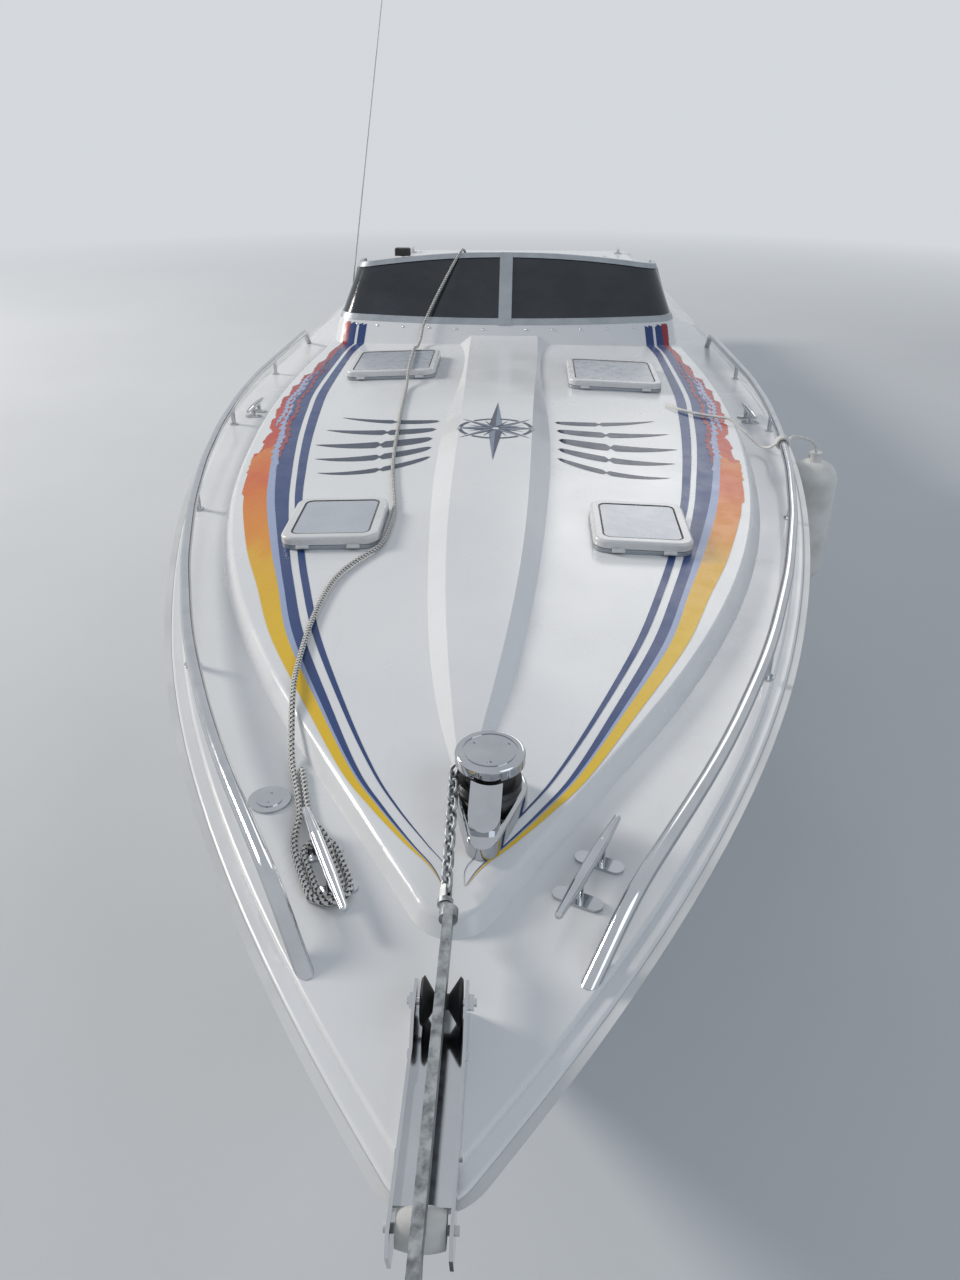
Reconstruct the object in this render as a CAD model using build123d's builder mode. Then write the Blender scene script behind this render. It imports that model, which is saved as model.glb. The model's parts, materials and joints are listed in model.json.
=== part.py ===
"""Twin-engined sports cruiser with a low cabin trunk, in millimetres.

+X is forward, +Y is port and +Z is up.  The origin lies on the centreline at
the waterline, 4.3 m forward of the transom.
"""

from build123d import *
import math
import os

os.makedirs("parts", exist_ok=True)

# Driving dimensions of the hull and the deck
SHEER_HEIGHT = 1085.0  # of the deck edge above the water, at x = 0
SHEER_SLOPE = 1.2  # degrees that the deck rises towards the bow
FLOOR_PLAN_Z = -600.0  # level of the lower plan outline
SKIN = 25.0  # thickness of the moulded walls
DECK_PLATE = 30.0
TOE_WIDTH = 30.0  # gutter around the deck edge
TOE_STEP = 10.0

# A plan outline: nose tip, nose radius, heading of the straight in degrees,
# its length, the bends (turn in degrees, radius), the aft end and its half width
SHEER_PLAN = (6000, 74, 36, 55, ((18, 5480), (18, 9200)), -4400, 1200)
LOWER_PLAN = (4020, 30, 20, 60, ((6, 22000), (14, 13000)), -4084, 1060)
TRUNK_PLAN = (5540, 80, 31, 640, ((21, 4550), (14, 8000), (-4, 8000)), -2450, 1024)

# Bottom stations: x, keel height, deadrise in degrees, half width inside the chine
BOTTOM_AFT = ((-4600, -520, 21, 1040), (1200, -520, 21, 950))
BOTTOM_FORWARD = (
    (1200, -520, 21, 950),
    (2400, -495, 25, 700),
    (3400, -385, 32, 395),
    (4200, -190, 41, 200),
    (5000, 130, 50, 100),
    (6100, 700, 55, 50),
)
# Spray strakes under the bottom: rows of x, half width and strake width
STRAKES = (
    ((-4060, 400, 55), (1200, 400, 55), (2400, 330, 50), (3400, 210, 14)),
    ((-4060, 760, 55), (1200, 740, 55), (2400, 560, 14)),
)
STRAKE_ROOT = 14.0

# Cabin trunk, measured above the deck plane
TRUNK_APEX = 5540.0
TRUNK_NOSE_HEIGHT = 30.0
TRUNK_RISE = math.tan(math.radians(1.7))
CROWN_RADIUS = 14000.0
TRUNK_LOFT_HEIGHT = 280.0
TRUNK_LEAN = 0.577  # inward lean of the trunk sides
COAMING_HEIGHT = 155.0  # at COAMING_X, falling aft
COAMING_X = 300.0
COAMING_FALL = 0.02
RIDGE_FILLET = 14.0

# Windscreen plans: front, front radius, corner radius, half width, aft end
SCREEN_FOOT = (1222, 2900, 150, 955, -150)
SCREEN_TOP = (880, 8000, 110, 830, -250)
RISER_FOOT = (1365, 3050, 200, 990, -400)
RISER_LOW = 100.0
SCREEN_LOW = 243.0
SCREEN_HIGH = 582.0
SCREEN_CROWN = 5850.0
WING_TOP = (700.0, 530.0)  # x and height where the wings start to fall
WING_FALL = 0.27
GLASS = 6.0

# Central spine of the trunk: x, half width of its top, flank, height
SPINE = (
    (5106, 12, 24, 5),
    (4900, 40, 45, 20),
    (4500, 84, 60, 32),
    (3800, 128, 75, 38),
    (2800, 150, 85, 40),
    (1240, 182, 95, 42),
)

# Cockpit
COCKPIT_FRONT = 300.0
COCKPIT_BACK = -2330.0
COCKPIT_HALF = 800.0
COCKPIT_FLOOR = 300.0
DOOR_Y = (-40.0, 520.0)
DOOR_Z = (345.0, 1130.0)

# Engine deck
ENGINE_FRONT = -2600.0
ENGINE_BACK = -3950.0
ENGINE_HALF = 840.0
ENGINE_RIM = 10.0

# Hull windows: centre x, centre z, length, height
PORTLIGHTS = ((3050, 735, 430, 120), (2250, 705, 430, 120))

# Deck hatches: name, centre x, centre y, size along x, size along y
DECK_HATCHES = (
    ("forward_port", 3835, 490, 335, 310),
    ("forward_starboard", 3835, -490, 335, 310),
    ("aft_port", 1960, 545, 430, 440),
    ("aft_starboard", 1800, -545, 430, 440),
)
HATCH_LID_HEIGHT = 42.0

# Stern drives
DRIVE_Y = 430.0
STEER_X = -4300.0
TILT_X = -4390.0
TILT_Z = -20.0
SHAFT_Z = -730.0
PROPELLER_RADIUS = 190.0
PLATFORM_TOP = 400.0

TILT = math.radians(SHEER_SLOPE)
SHEER = Plane(
    origin=(0, 0, SHEER_HEIGHT),
    x_dir=(math.cos(TILT), 0, math.sin(TILT)),
    z_dir=(-math.sin(TILT), 0, math.cos(TILT)),
)


def deck_point(x, y, height):
    """World point at a height above the deck plane."""
    return SHEER.from_local_coords(Vector(x, y, height))


def deck_plane(x, y, height, turn=0.0, fore_aft=0.0, across=0.0):
    """Plane at a deck point: its X axis is turned about the deck's normal."""
    normal = Vector(fore_aft, across, 1)
    heading = Vector(math.cos(math.radians(turn)), math.sin(math.radians(turn)), 0)
    origin = deck_point(x, y, height)
    z_dir = SHEER.from_local_coords(normal) - SHEER.origin
    x_dir = SHEER.from_local_coords(heading) - SHEER.origin
    x_dir = x_dir - z_dir * (x_dir.dot(z_dir) / z_dir.dot(z_dir))
    return Plane(origin=origin, x_dir=x_dir, z_dir=z_dir)


def trunk_height(x, y):
    """Height of the crowned trunk top above the deck plane."""
    return TRUNK_NOSE_HEIGHT + (TRUNK_APEX - x) * TRUNK_RISE - y * y / (2 * CROWN_RADIUS)


def trunk_plane(x, y, lift=0.0, turn=0.0):
    """Plane lying on the crowned trunk top."""
    return deck_plane(x, y, trunk_height(x, y) + lift, turn, TRUNK_RISE, y / CROWN_RADIUS)


def outline(nose_x, nose_radius, heading, run, bends, aft_x, aft_half, inset=0.0, tip=None):
    """Closed plan outline, from the nose aft along port and back along starboard."""
    radius = nose_radius - inset if tip is None else tip
    angle = math.radians(heading)
    centre = nose_x - nose_radius - (radius + inset - nose_radius) / math.sin(angle)
    base_x = nose_x - nose_radius + nose_radius * math.sin(angle)
    base_y = nose_radius * math.cos(angle)
    start = (centre + radius * math.sin(angle), radius * math.cos(angle))
    end_x = base_x - run * math.cos(angle) - inset * math.sin(angle)
    end_y = base_y + run * math.sin(angle) - inset * math.cos(angle)
    half_turn = (math.pi / 2 - angle) / 2
    middle = (centre + radius * math.cos(half_turn), radius * math.sin(half_turn))
    pieces = [((centre + radius, 0), middle, start), (start, (end_x, end_y))]
    here = (end_x, end_y)
    for turn, bend in bends:
        side = math.copysign(1, turn)
        arm = side * (bend - side * inset)
        hub = (here[0] - arm * math.sin(angle), here[1] - arm * math.cos(angle))
        halfway = angle - math.radians(turn) / 2
        angle -= math.radians(turn)
        middle = (hub[0] + arm * math.sin(halfway), hub[1] + arm * math.cos(halfway))
        there = (hub[0] + arm * math.sin(angle), hub[1] + arm * math.cos(angle))
        pieces.append((here, middle, there))
        here = there
    aft = (aft_x + inset, aft_half - inset)
    pieces.append((here, aft))
    starboard = [[(x, -y) for x, y in reversed(piece)] for piece in reversed(pieces)]
    with BuildLine() as line:
        for piece in pieces + [(aft, (aft[0], -aft[1]))] + starboard:
            if len(piece) == 3:
                ThreePointArc(*piece)
            else:
                Line(*piece)
    return line.line


def outline_face(plane, plan, inset=0.0, tip=None):
    """The face inside a plan outline."""
    with BuildSketch(plane) as sketch:
        with BuildLine():
            add(outline(*plan, inset=inset, tip=tip))
        make_face()
    return sketch.sketch


def topsides(inset):
    """The hull's sides between its two plan outlines."""
    with BuildPart() as block:
        add(outline_face(SHEER, SHEER_PLAN, inset))
        add(outline_face(Plane.XY.offset(FLOOR_PLAN_Z), LOWER_PLAN, inset))
        loft(ruled=True)
    return block.part


def station(x, keel, deadrise, chine, lift):
    """Cross-section of the space above the hull's bottom."""
    rise = math.tan(math.radians(deadrise))
    low = keel + lift / math.cos(math.radians(deadrise))
    edge = low + chine * rise
    wide = 1600
    high = 2600
    with BuildSketch(Plane.YZ.offset(x)) as sketch:
        with BuildLine():
            Polyline(
                (0, low),
                (chine, edge),
                (wide, edge),
                (wide, high),
                (-wide, high),
                (-wide, edge),
                (-chine, edge),
                close=True,
            )
        make_face()
    return sketch.sketch


def bottom(lift):
    """The space above the vee bottom, with a flat along each chine."""
    with BuildPart() as aft:
        for row in BOTTOM_AFT:
            add(station(*row, lift))
        loft(ruled=True)
    with BuildPart() as forward:
        for row in BOTTOM_FORWARD:
            add(station(*row, lift))
        loft()
    return aft.part + forward.part


def crown(lift, radius=CROWN_RADIUS):
    """Everything under the crowned trunk top, raised by lift."""
    apex = deck_plane(TRUNK_APEX, 0, TRUNK_NOSE_HEIGHT + lift, 0, TRUNK_RISE)
    section = Plane(origin=apex.origin + apex.x_dir * 1000, x_dir=(0, 1, 0), z_dir=-apex.x_dir)
    with BuildPart() as block:
        with BuildSketch(section):
            with Locations((0, -radius if section.y_dir.Z > 0 else radius)):
                Circle(radius)
        extrude(amount=10500)
    return block.part


def under_coaming(part, drop=0.0):
    """The part below the coaming plane, which falls towards the stern."""
    plane = deck_plane(COAMING_X, 0, COAMING_HEIGHT - drop, 0, -COAMING_FALL)
    return split(part, bisect_by=plane, keep=Keep.BOTTOM)


def prism(points, half_width, y=0.0):
    """A profile in X and Z, given a width about y."""
    with BuildPart() as block:
        with BuildSketch(Plane.XZ.offset(-y)):
            with BuildLine():
                Polyline(*points, close=True)
            make_face()
        extrude(amount=half_width, both=True)
    return block.part


def block_between(low, high):
    """A box from its low corner to its high corner."""
    size = [high[i] - low[i] for i in range(3)]
    centre = [(high[i] + low[i]) / 2 for i in range(3)]
    with BuildPart(Plane(origin=centre)) as block:
        Box(*size)
    return block.part


def save(builder, label):
    """Label a finished sub-part and write it."""
    builder.part.label = label
    export_step(builder.part, f"parts/{label}.step")
    return builder.part


def bottom_height(x, y):
    """Height of the vee bottom, between the stations on both sides of x."""
    rows = BOTTOM_AFT[:1] + BOTTOM_FORWARD
    for (x0, keel0, rise0, _), (x1, keel1, rise1, _) in zip(rows, rows[1:]):
        if x0 <= x <= x1:
            share = (x - x0) / (x1 - x0)
            rise = math.radians(rise0 + share * (rise1 - rise0))
            return keel0 + share * (keel1 - keel0) + y * math.tan(rise)
    return 0.0


def strake(rows, side):
    """A spray strake with a level underside."""
    with BuildPart() as block:
        for x, half, width in rows:
            inner = bottom_height(x, half)
            outer = bottom_height(x, half + width)
            with BuildSketch(Plane.YZ.offset(x)):
                with BuildLine():
                    Polyline(
                        (side * half, inner),
                        (side * (half + width), inner),
                        (side * (half + width), outer + STRAKE_ROOT),
                        (side * half, inner + STRAKE_ROOT),
                        close=True,
                    )
                make_face()
        loft(ruled=True)
    return block.part


def side_ovals(margin):
    """Prisms through both hull sides at the hull windows."""
    with BuildPart() as block:
        for x, z, length, height in PORTLIGHTS:
            with BuildSketch(Plane.XZ):
                with Locations((x, z)):
                    SlotOverall(length + 2 * margin, height + 2 * margin)
            extrude(amount=1600, both=True)
    return block.part


def screen_face(height, plan, inset=0.0, aft=None):
    """Plan of the windscreen: a bowed front, round corners and straight wings."""
    front, bow, corner, half, end = plan
    front, bow, corner, half = front - inset, bow - inset, corner - inset, half - inset
    end = end if aft is None else aft
    centre = front - bow + math.sqrt((bow - corner) ** 2 - (half - corner) ** 2)
    angle = math.atan2(half - corner, centre - front + bow)
    meet = (front - bow + bow * math.cos(angle), bow * math.sin(angle))
    turn = (angle + math.pi / 2) / 2
    elbow = (centre + corner * math.cos(turn), half - corner + corner * math.sin(turn))
    with BuildSketch(SHEER.offset(height)) as sketch:
        with BuildLine():
            ThreePointArc((meet[0], -meet[1]), (front, 0), meet)
            ThreePointArc(meet, elbow, (centre, half))
            Line((centre, half), (end, half))
            Line((end, half), (end, -half))
            Line((end, -half), (centre, -half))
            ThreePointArc((centre, -half), (elbow[0], -elbow[1]), (meet[0], -meet[1]))
        make_face()
    return sketch.sketch


def screen_block(inset, aft=None):
    """The leaning block inside the windscreen."""
    with BuildPart() as block:
        add(screen_face(SCREEN_LOW, SCREEN_FOOT, inset, aft))
        add(screen_face(SCREEN_HIGH, SCREEN_TOP, inset, aft))
        loft(ruled=True)
    return block.part


def screen_shell(outer, inner):
    """The leaning wall of the windscreen between two insets."""
    return screen_block(outer) - screen_block(inner, -700)


def under_screen_top(drop):
    """Everything under the windscreen's top edge, lowered by drop."""
    section = Plane(origin=deck_point(2000, 0, SCREEN_HIGH - drop), x_dir=(0, -1, 0), z_dir=-SHEER.x_dir)
    with BuildPart() as block:
        with BuildSketch(section):
            with Locations((0, -SCREEN_CROWN)):
                Circle(SCREEN_CROWN)
        extrude(amount=3000)
        split(
            bisect_by=deck_plane(WING_TOP[0], 0, WING_TOP[1] - drop, 0, -WING_FALL),
            keep=Keep.BOTTOM,
        )
    return block.part


def riser_block(inset, drop, aft=None):
    """The raised base of the windscreen."""
    with BuildPart() as block:
        add(screen_face(RISER_LOW, RISER_FOOT, inset, aft))
        add(screen_face(SCREEN_LOW - drop, SCREEN_FOOT, inset - 8, aft))
        loft(ruled=True)
    return block.part


def trunk_block(inset, drop):
    """The cabin trunk under its crown, without the windscreen's base."""
    lean = TRUNK_LOFT_HEIGHT * TRUNK_LEAN
    with BuildPart() as block:
        add(outline_face(SHEER, TRUNK_PLAN, inset))
        add(outline_face(SHEER.offset(TRUNK_LOFT_HEIGHT), TRUNK_PLAN, inset + lean, 10))
        loft(ruled=True)
    return block.part & crown(-drop)


# Hull shell, open at the top, with strakes and window openings
hull_inside = topsides(SKIN) & bottom(SKIN + 10)

with BuildPart() as hull:
    add(topsides(0) & bottom(0))
    for rows in STRAKES:
        for side in (1, -1):
            add(strake(rows, side))
    add(hull_inside, mode=Mode.SUBTRACT)
    add(side_ovals(0), mode=Mode.SUBTRACT)
    split(bisect_by=SHEER.offset(-DECK_PLATE), keep=Keep.BOTTOM)
save(hull, "hull")

with BuildPart() as portlight_frames:
    add(side_ovals(0) & (topsides(-7) - topsides(SKIN)))
    add(side_ovals(-26), mode=Mode.SUBTRACT)
save(portlight_frames, "portlight_frames")

# Rub rail round the deck edge, with a metal strip let into its face
RAIL_TOP = -14.0
RAIL_BOTTOM = -60.0
RAIL_OUT = 26.0
STRIP_OUT = 30.0
STRIP_TOP = -30.0
STRIP_BOTTOM = -42.0


def deck_band(outer, inner, top, low):
    """A band around the topsides between two levels under the deck plane."""
    with BuildPart() as block:
        add(topsides(-outer))
        split(bisect_by=SHEER.offset(top), keep=Keep.BOTTOM)
        split(bisect_by=SHEER.offset(low), keep=Keep.TOP)
        add(topsides(-inner), mode=Mode.SUBTRACT)
    return block.part


with BuildPart() as plate_edge:
    extrude(outline_face(SHEER.offset(-DECK_PLATE), SHEER_PLAN, 0), DECK_PLATE)

with BuildPart() as rub_rail:
    add(deck_band(RAIL_OUT, 0, RAIL_TOP, RAIL_BOTTOM))
    add(plate_edge.part, mode=Mode.SUBTRACT)
save(rub_rail, "rub_rail")

with BuildPart() as rub_strip:
    add(deck_band(STRIP_OUT, RAIL_OUT, STRIP_TOP, STRIP_BOTTOM))
save(rub_strip, "rub_strip")

# Deck moulding: gutter, side decks and aft deck, with the rim of the engine hatch
with BuildPart() as gutter:
    extrude(outline_face(SHEER.offset(-DECK_PLATE), SHEER_PLAN, 0), DECK_PLATE - TOE_STEP)
    fillet(gutter.edges().group_by(Axis(SHEER.origin, SHEER.z_dir))[-1], 8)

with BuildPart() as walkway:
    extrude(outline_face(SHEER.offset(-TOE_STEP - 5), SHEER_PLAN, TOE_WIDTH), TOE_STEP + 5)
    fillet(walkway.edges().group_by(Axis(SHEER.origin, SHEER.z_dir))[-1], 8)

# Cabin top moulding: trunk, spine, windscreen base and coamings
with BuildPart() as trunk:
    add(trunk_block(0, 0))
    ridge = [
        edge
        for edge in trunk.edges()
        if min(SHEER.to_local_coords(v.center()).Z for v in edge.vertices()) > 5
        and abs(SHEER.to_local_coords(edge.center()).Y) > 1
    ]
    fillet(ridge, RIDGE_FILLET)

with BuildPart() as spine:
    for x, half, flank, height in SPINE:
        base = deck_point(x, 0, trunk_height(x, half + flank) - 8).Z
        top = deck_point(x, 0, trunk_height(x, half) + height).Z
        with BuildSketch(Plane.YZ.offset(x)):
            with BuildLine():
                Polyline(
                    (-half - flank, base),
                    (half + flank, base),
                    (half, top),
                    (-half, top),
                    close=True,
                )
            make_face()
    loft()

trunk_top = under_coaming(trunk.part)
trunk_hollow = under_coaming(trunk_block(SKIN, SKIN), SKIN)

with BuildPart() as cabin_space:
    extrude(outline_face(SHEER.offset(-DECK_PLATE - 1), TRUNK_PLAN, SKIN), DECK_PLATE + 1)
    add(trunk_hollow)
    add(riser_block(SKIN, SKIN, COCKPIT_FRONT + SKIN))

cockpit_cut = block_between((COCKPIT_BACK, -COCKPIT_HALF, 900), (COCKPIT_FRONT, COCKPIT_HALF, 1700))

with BuildPart() as deck:
    add(gutter.part)
    add(walkway.part)
    add(cabin_space.part, mode=Mode.SUBTRACT)
    add(cockpit_cut, mode=Mode.SUBTRACT)
    with BuildSketch(SHEER.offset(-DECK_PLATE - 5)):
        with Locations(((ENGINE_FRONT + ENGINE_BACK) / 2, 0)):
            RectangleRounded(ENGINE_FRONT - ENGINE_BACK, 2 * ENGINE_HALF, 60)
    extrude(amount=DECK_PLATE + 10, mode=Mode.SUBTRACT)
    with BuildSketch(SHEER.offset(-DECK_PLATE)):
        with Locations(((ENGINE_FRONT + ENGINE_BACK) / 2, 0)):
            RectangleRounded(ENGINE_FRONT - ENGINE_BACK + 50, 2 * ENGINE_HALF + 50, 85)
            RectangleRounded(ENGINE_FRONT - ENGINE_BACK, 2 * ENGINE_HALF, 60, mode=Mode.SUBTRACT)
    extrude(amount=DECK_PLATE + ENGINE_RIM)
save(deck, "deck")

with BuildPart() as cabin_top:
    add(trunk_top)
    add(spine.part)
    add(riser_block(0, 0))
    add(cabin_space.part, mode=Mode.SUBTRACT)
    add(cockpit_cut, mode=Mode.SUBTRACT)
    for name, x, y, length, width in DECK_HATCHES:
        with BuildSketch(trunk_plane(x, y, -60)):
            RectangleRounded(length - 76, width - 76, 28)
        extrude(amount=120, mode=Mode.SUBTRACT)
save(cabin_top, "cabin_top")

# Windscreen: metal frame with a centre mullion, corner posts and tinted panes
FRAME_OUT = -9.0
FRAME_IN = 13.0
FOOT_GAP = 0.5
FOOT_STRIP = 30.0
TOP_STRIP = 24.0
MULLION_HALF = 36.0
POST_X = 770.0
POST_HALF = 16.0

frame_wall = screen_shell(FRAME_OUT, FRAME_IN)
foot_strip = split(frame_wall, bisect_by=SHEER.offset(SCREEN_LOW + FOOT_STRIP), keep=Keep.BOTTOM)
top_strip = (frame_wall & under_screen_top(0)) - under_screen_top(TOP_STRIP)
mullion = screen_shell(FRAME_OUT - 3, FRAME_IN + 3) & under_screen_top(-2)
mullion = mullion & block_between((600, -MULLION_HALF, 1000), (1400, MULLION_HALF, 2000))
post_slabs = block_between((POST_X - POST_HALF, -1200, 1000), (POST_X + POST_HALF, 1200, 2000))
post_slabs = post_slabs + block_between((-160, -1200, 1000), (-125, 1200, 2000))
posts = frame_wall & under_screen_top(TOP_STRIP / 2) & post_slabs

with BuildPart() as windscreen_frame:
    add(foot_strip)
    add(top_strip)
    add(mullion)
    add(posts)
    split(bisect_by=SHEER.offset(SCREEN_LOW + FOOT_GAP), keep=Keep.TOP)
save(windscreen_frame, "windscreen_frame")

glass_wall = screen_shell(-GLASS / 2, GLASS / 2) & under_screen_top(TOP_STRIP / 2)
with BuildPart() as window_panes:
    add(glass_wall)
    split(bisect_by=SHEER.offset(SCREEN_LOW + FOOT_STRIP / 2), keep=Keep.TOP)
    add(windscreen_frame.part, mode=Mode.SUBTRACT)
    add(side_ovals(-26) & (topsides(8) - topsides(16)))
save(window_panes, "window_panes")

# Small lamp on the starboard side of the windscreen's top edge
LAMP = (838, -600)
lamp_height = SCREEN_HIGH - LAMP[1] ** 2 / (2 * SCREEN_CROWN)
with BuildPart() as screen_lamp:
    with BuildSketch(deck_plane(*LAMP, lamp_height + 4)):
        RectangleRounded(50, 90, 12)
    extrude(amount=42)
    fillet(screen_lamp.edges().group_by(Axis(SHEER.origin, SHEER.z_dir))[-1], 8)
    with BuildSketch(deck_plane(*LAMP, lamp_height + 0.5)):
        Circle(14)
    extrude(amount=6)
save(screen_lamp, "screen_lamp")

# Deck hatches: fixed rims, and lids hinged at their forward edges
RIM_HEIGHT = 14.0
LID_LOW = 16.0
WINDOW_MARGIN = 30.0
PANE_LOW = 30.0
PANE_HIGH = 40.5
HINGE_RADIUS = 5.5
HINGE_OUT = 7.0
HINGE_HEIGHT = 12.0

with BuildPart() as hatch_rims:
    for name, x, y, length, width in DECK_HATCHES:
        with BuildSketch(trunk_plane(x, y, 1.2)):
            RectangleRounded(length, width, 46)
            RectangleRounded(length - 96, width - 96, 22, mode=Mode.SUBTRACT)
        extrude(amount=RIM_HEIGHT - 1.2)
save(hatch_rims, "hatch_rims")

for name, x, y, length, width in DECK_HATCHES:
    surface = trunk_plane(x, y)
    with BuildPart() as lid:
        with BuildSketch(surface.offset(LID_LOW)):
            RectangleRounded(length, width, 48)
        extrude(amount=HATCH_LID_HEIGHT - LID_LOW)
        fillet(lid.edges().group_by(Axis(surface.origin, surface.z_dir))[-1], 10)
        with BuildSketch(surface.offset(LID_LOW - 1)):
            RectangleRounded(length - 2 * WINDOW_MARGIN, width - 2 * WINDOW_MARGIN, 26)
        extrude(amount=40, mode=Mode.SUBTRACT)
        for side in (1, -1):
            knuckle = Vector(length / 2 + HINGE_OUT, side * (width / 2 - 75) + 20, HINGE_HEIGHT)
            hinge = Plane(
                origin=surface.from_local_coords(knuckle),
                x_dir=surface.x_dir,
                z_dir=-surface.y_dir,
            )
            with BuildSketch(hinge):
                Circle(HINGE_RADIUS)
                with Locations((-HINGE_OUT / 2 - 2, LID_LOW - HINGE_HEIGHT + 1.5)):
                    Rectangle(HINGE_OUT + 6, 4)
            extrude(amount=40)
    save(lid, f"hatch_lid_{name}")
    with BuildPart() as pane:
        with BuildSketch(surface.offset(PANE_LOW)):
            RectangleRounded(length - 2 * WINDOW_MARGIN, width - 2 * WINDOW_MARGIN, 26)
        extrude(amount=PANE_HIGH - PANE_LOW)
    save(pane, f"hatch_pane_{name}")

# Anchor windlass on the nose of the trunk
WINDLASS = (5195, 56)
WINDLASS_NOSE = (150, -8)
windlass_seat = trunk_plane(*WINDLASS)
windlass_axis = Axis(windlass_seat.origin, windlass_seat.z_dir)

with BuildPart() as windlass_base:
    with BuildSketch(windlass_seat.offset(0.6)):
        Circle(76)
        with Locations(WINDLASS_NOSE):
            Circle(32)
        make_hull()
    extrude(amount=39.4)
    fillet(windlass_base.edges().group_by(windlass_axis)[-1], 9)
    with BuildSketch(windlass_seat.offset(39)):
        with Locations((70, -4)):
            SlotOverall(170, 62, rotation=-3)
    extrude(amount=60)
    split(
        bisect_by=Plane(
            origin=windlass_seat.from_local_coords(Vector(80, 0, 92)),
            x_dir=windlass_seat.x_dir - windlass_seat.z_dir * 0.62,
            z_dir=windlass_seat.z_dir + windlass_seat.x_dir * 0.62,
        ),
        keep=Keep.BOTTOM,
    )
    with BuildSketch(windlass_seat.offset(40)):
        Circle(76)
    extrude(amount=60, mode=Mode.SUBTRACT)
save(windlass_base, "windlass_base")

# Low and high level and radius of the drum's flanges and of the groove between them
DRUM_STEPS = ((40.5, 55, 64), (55, 86, 52), (86, 97, 64))
with BuildPart() as windlass_drum:
    for low, high, radius in DRUM_STEPS:
        with BuildSketch(windlass_seat.offset(low)):
            Circle(radius)
        extrude(amount=high - low)
save(windlass_drum, "windlass_drum")

with BuildPart() as windlass_cap:
    with BuildSketch(windlass_seat.offset(98)):
        Circle(70)
    extrude(amount=24)
    fillet(windlass_cap.edges().group_by(windlass_axis)[-1], 7)
    with BuildSketch(windlass_seat.offset(120)):
        Circle(55)
        Circle(51, mode=Mode.SUBTRACT)
        with PolarLocations(40, 3):
            Circle(5)
    extrude(amount=5, mode=Mode.SUBTRACT)
save(windlass_cap, "windlass_cap")

# Anchor chain from the windlass to the swivel
CHAIN_START = (5187, -15, 112)
CHAIN_END = (5486, -10, 72)
LINK_PITCH = 24.0
LINK_WIRE = 7.6
LINK_WIDTH = 27.0
chain_start = deck_point(*CHAIN_START)
chain_end = deck_point(*CHAIN_END)
chain_way = (chain_end - chain_start).normalized()
link_count = round((chain_end - chain_start).length / LINK_PITCH)
link_bend = (LINK_WIDTH - LINK_WIRE) / 2
link_reach = (LINK_PITCH + LINK_WIRE - 0.8) / 2 - link_bend

with BuildPart() as anchor_chain:
    for index in range(link_count):
        centre = chain_start + chain_way * (LINK_PITCH * (index + 0.5))
        lean = 40 + 90 * (index % 2)
        upright = chain_way.cross(Vector(0, 1, 0)).normalized()
        sideways = upright.cross(chain_way)
        across = upright * math.sin(math.radians(lean)) + sideways * math.cos(math.radians(lean))
        link_plane = Plane(origin=centre, x_dir=chain_way, z_dir=chain_way.cross(across))
        with BuildLine(link_plane) as loop:
            Line((-link_reach, link_bend), (link_reach, link_bend))
            ThreePointArc((link_reach, link_bend), (link_reach + link_bend, 0), (link_reach, -link_bend))
            Line((link_reach, -link_bend), (-link_reach, -link_bend))
            ThreePointArc((-link_reach, -link_bend), (-link_reach - link_bend, 0), (-link_reach, link_bend))
        with BuildSketch(Plane(origin=loop.line @ 0, z_dir=loop.line % 0)):
            Circle(LINK_WIRE / 2)
        sweep(path=loop.line)
save(anchor_chain, "anchor_chain")


def side_face(x, y, height):
    """Upright plane at a deck point: its X runs forward and its Y upward."""
    base = deck_plane(x, y, height)
    return Plane(origin=base.origin, x_dir=base.x_dir, z_dir=-base.y_dir)


# Bow roller: a channel over the stem, open below at its nose, with walls raised round the aft roller
ROLLER_X = 6050.0
ROLLER_Z = 28.0
ROLLER_RADIUS = 27.0
ROLLER_END_RADIUS = 22.0
ROLLER_HALF = 32.0
AXLE_RADIUS = 6.0
CHANNEL_HALF = 42.0
PLATE = 5.0
CHANNEL_SIDE = (
    (5692, 0),
    (6008, 0),
    (6040, -20),
    (6076, -14),
    (6088, 30),
    (6072, 54),
    (5800, 50),
    (5766, 82),
    (5706, 88),
    (5684, 60),
)
SPOOL = (5716, 50)  # place of the aft roller's bolt
SPOOL_RADIUS = 38.0
SPOOL_GROOVE = 12.0
SPOOL_BORE = 6.8
SMALL_BOLTS = ((5792, 24), (5950, 24))

with BuildPart() as bow_fitting:
    with BuildSketch(SHEER.offset(0.5)):
        with Locations((5850, 0)):
            Rectangle(316, 2 * CHANNEL_HALF)
    extrude(amount=PLATE)
    for side in (1, -1):
        with BuildSketch(side_face(0, side * (CHANNEL_HALF - PLATE / 2), 0.5)):
            with BuildLine():
                Polyline(*CHANNEL_SIDE, close=True)
            make_face()
            with Locations((ROLLER_X, ROLLER_Z)):
                Circle(AXLE_RADIUS + 0.5, mode=Mode.SUBTRACT)
        extrude(amount=PLATE / 2, both=True)
    with BuildSketch(side_face(SPOOL[0], 0, SPOOL[1] + 0.5)):
        Circle(AXLE_RADIUS)
    extrude(amount=CHANNEL_HALF + 12, both=True)
    for y in (CHANNEL_HALF + 8, -CHANNEL_HALF):
        with BuildSketch(side_face(SPOOL[0], y, SPOOL[1] + 0.5)):
            RegularPolygon(13, 6)
        extrude(amount=8)
    for y in (CHANNEL_HALF + 4, -CHANNEL_HALF):
        for x, height in SMALL_BOLTS:
            with BuildSketch(side_face(x, y, height + 0.5)):
                RegularPolygon(8, 6)
            extrude(amount=4)
save(bow_fitting, "bow_fitting")

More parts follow.
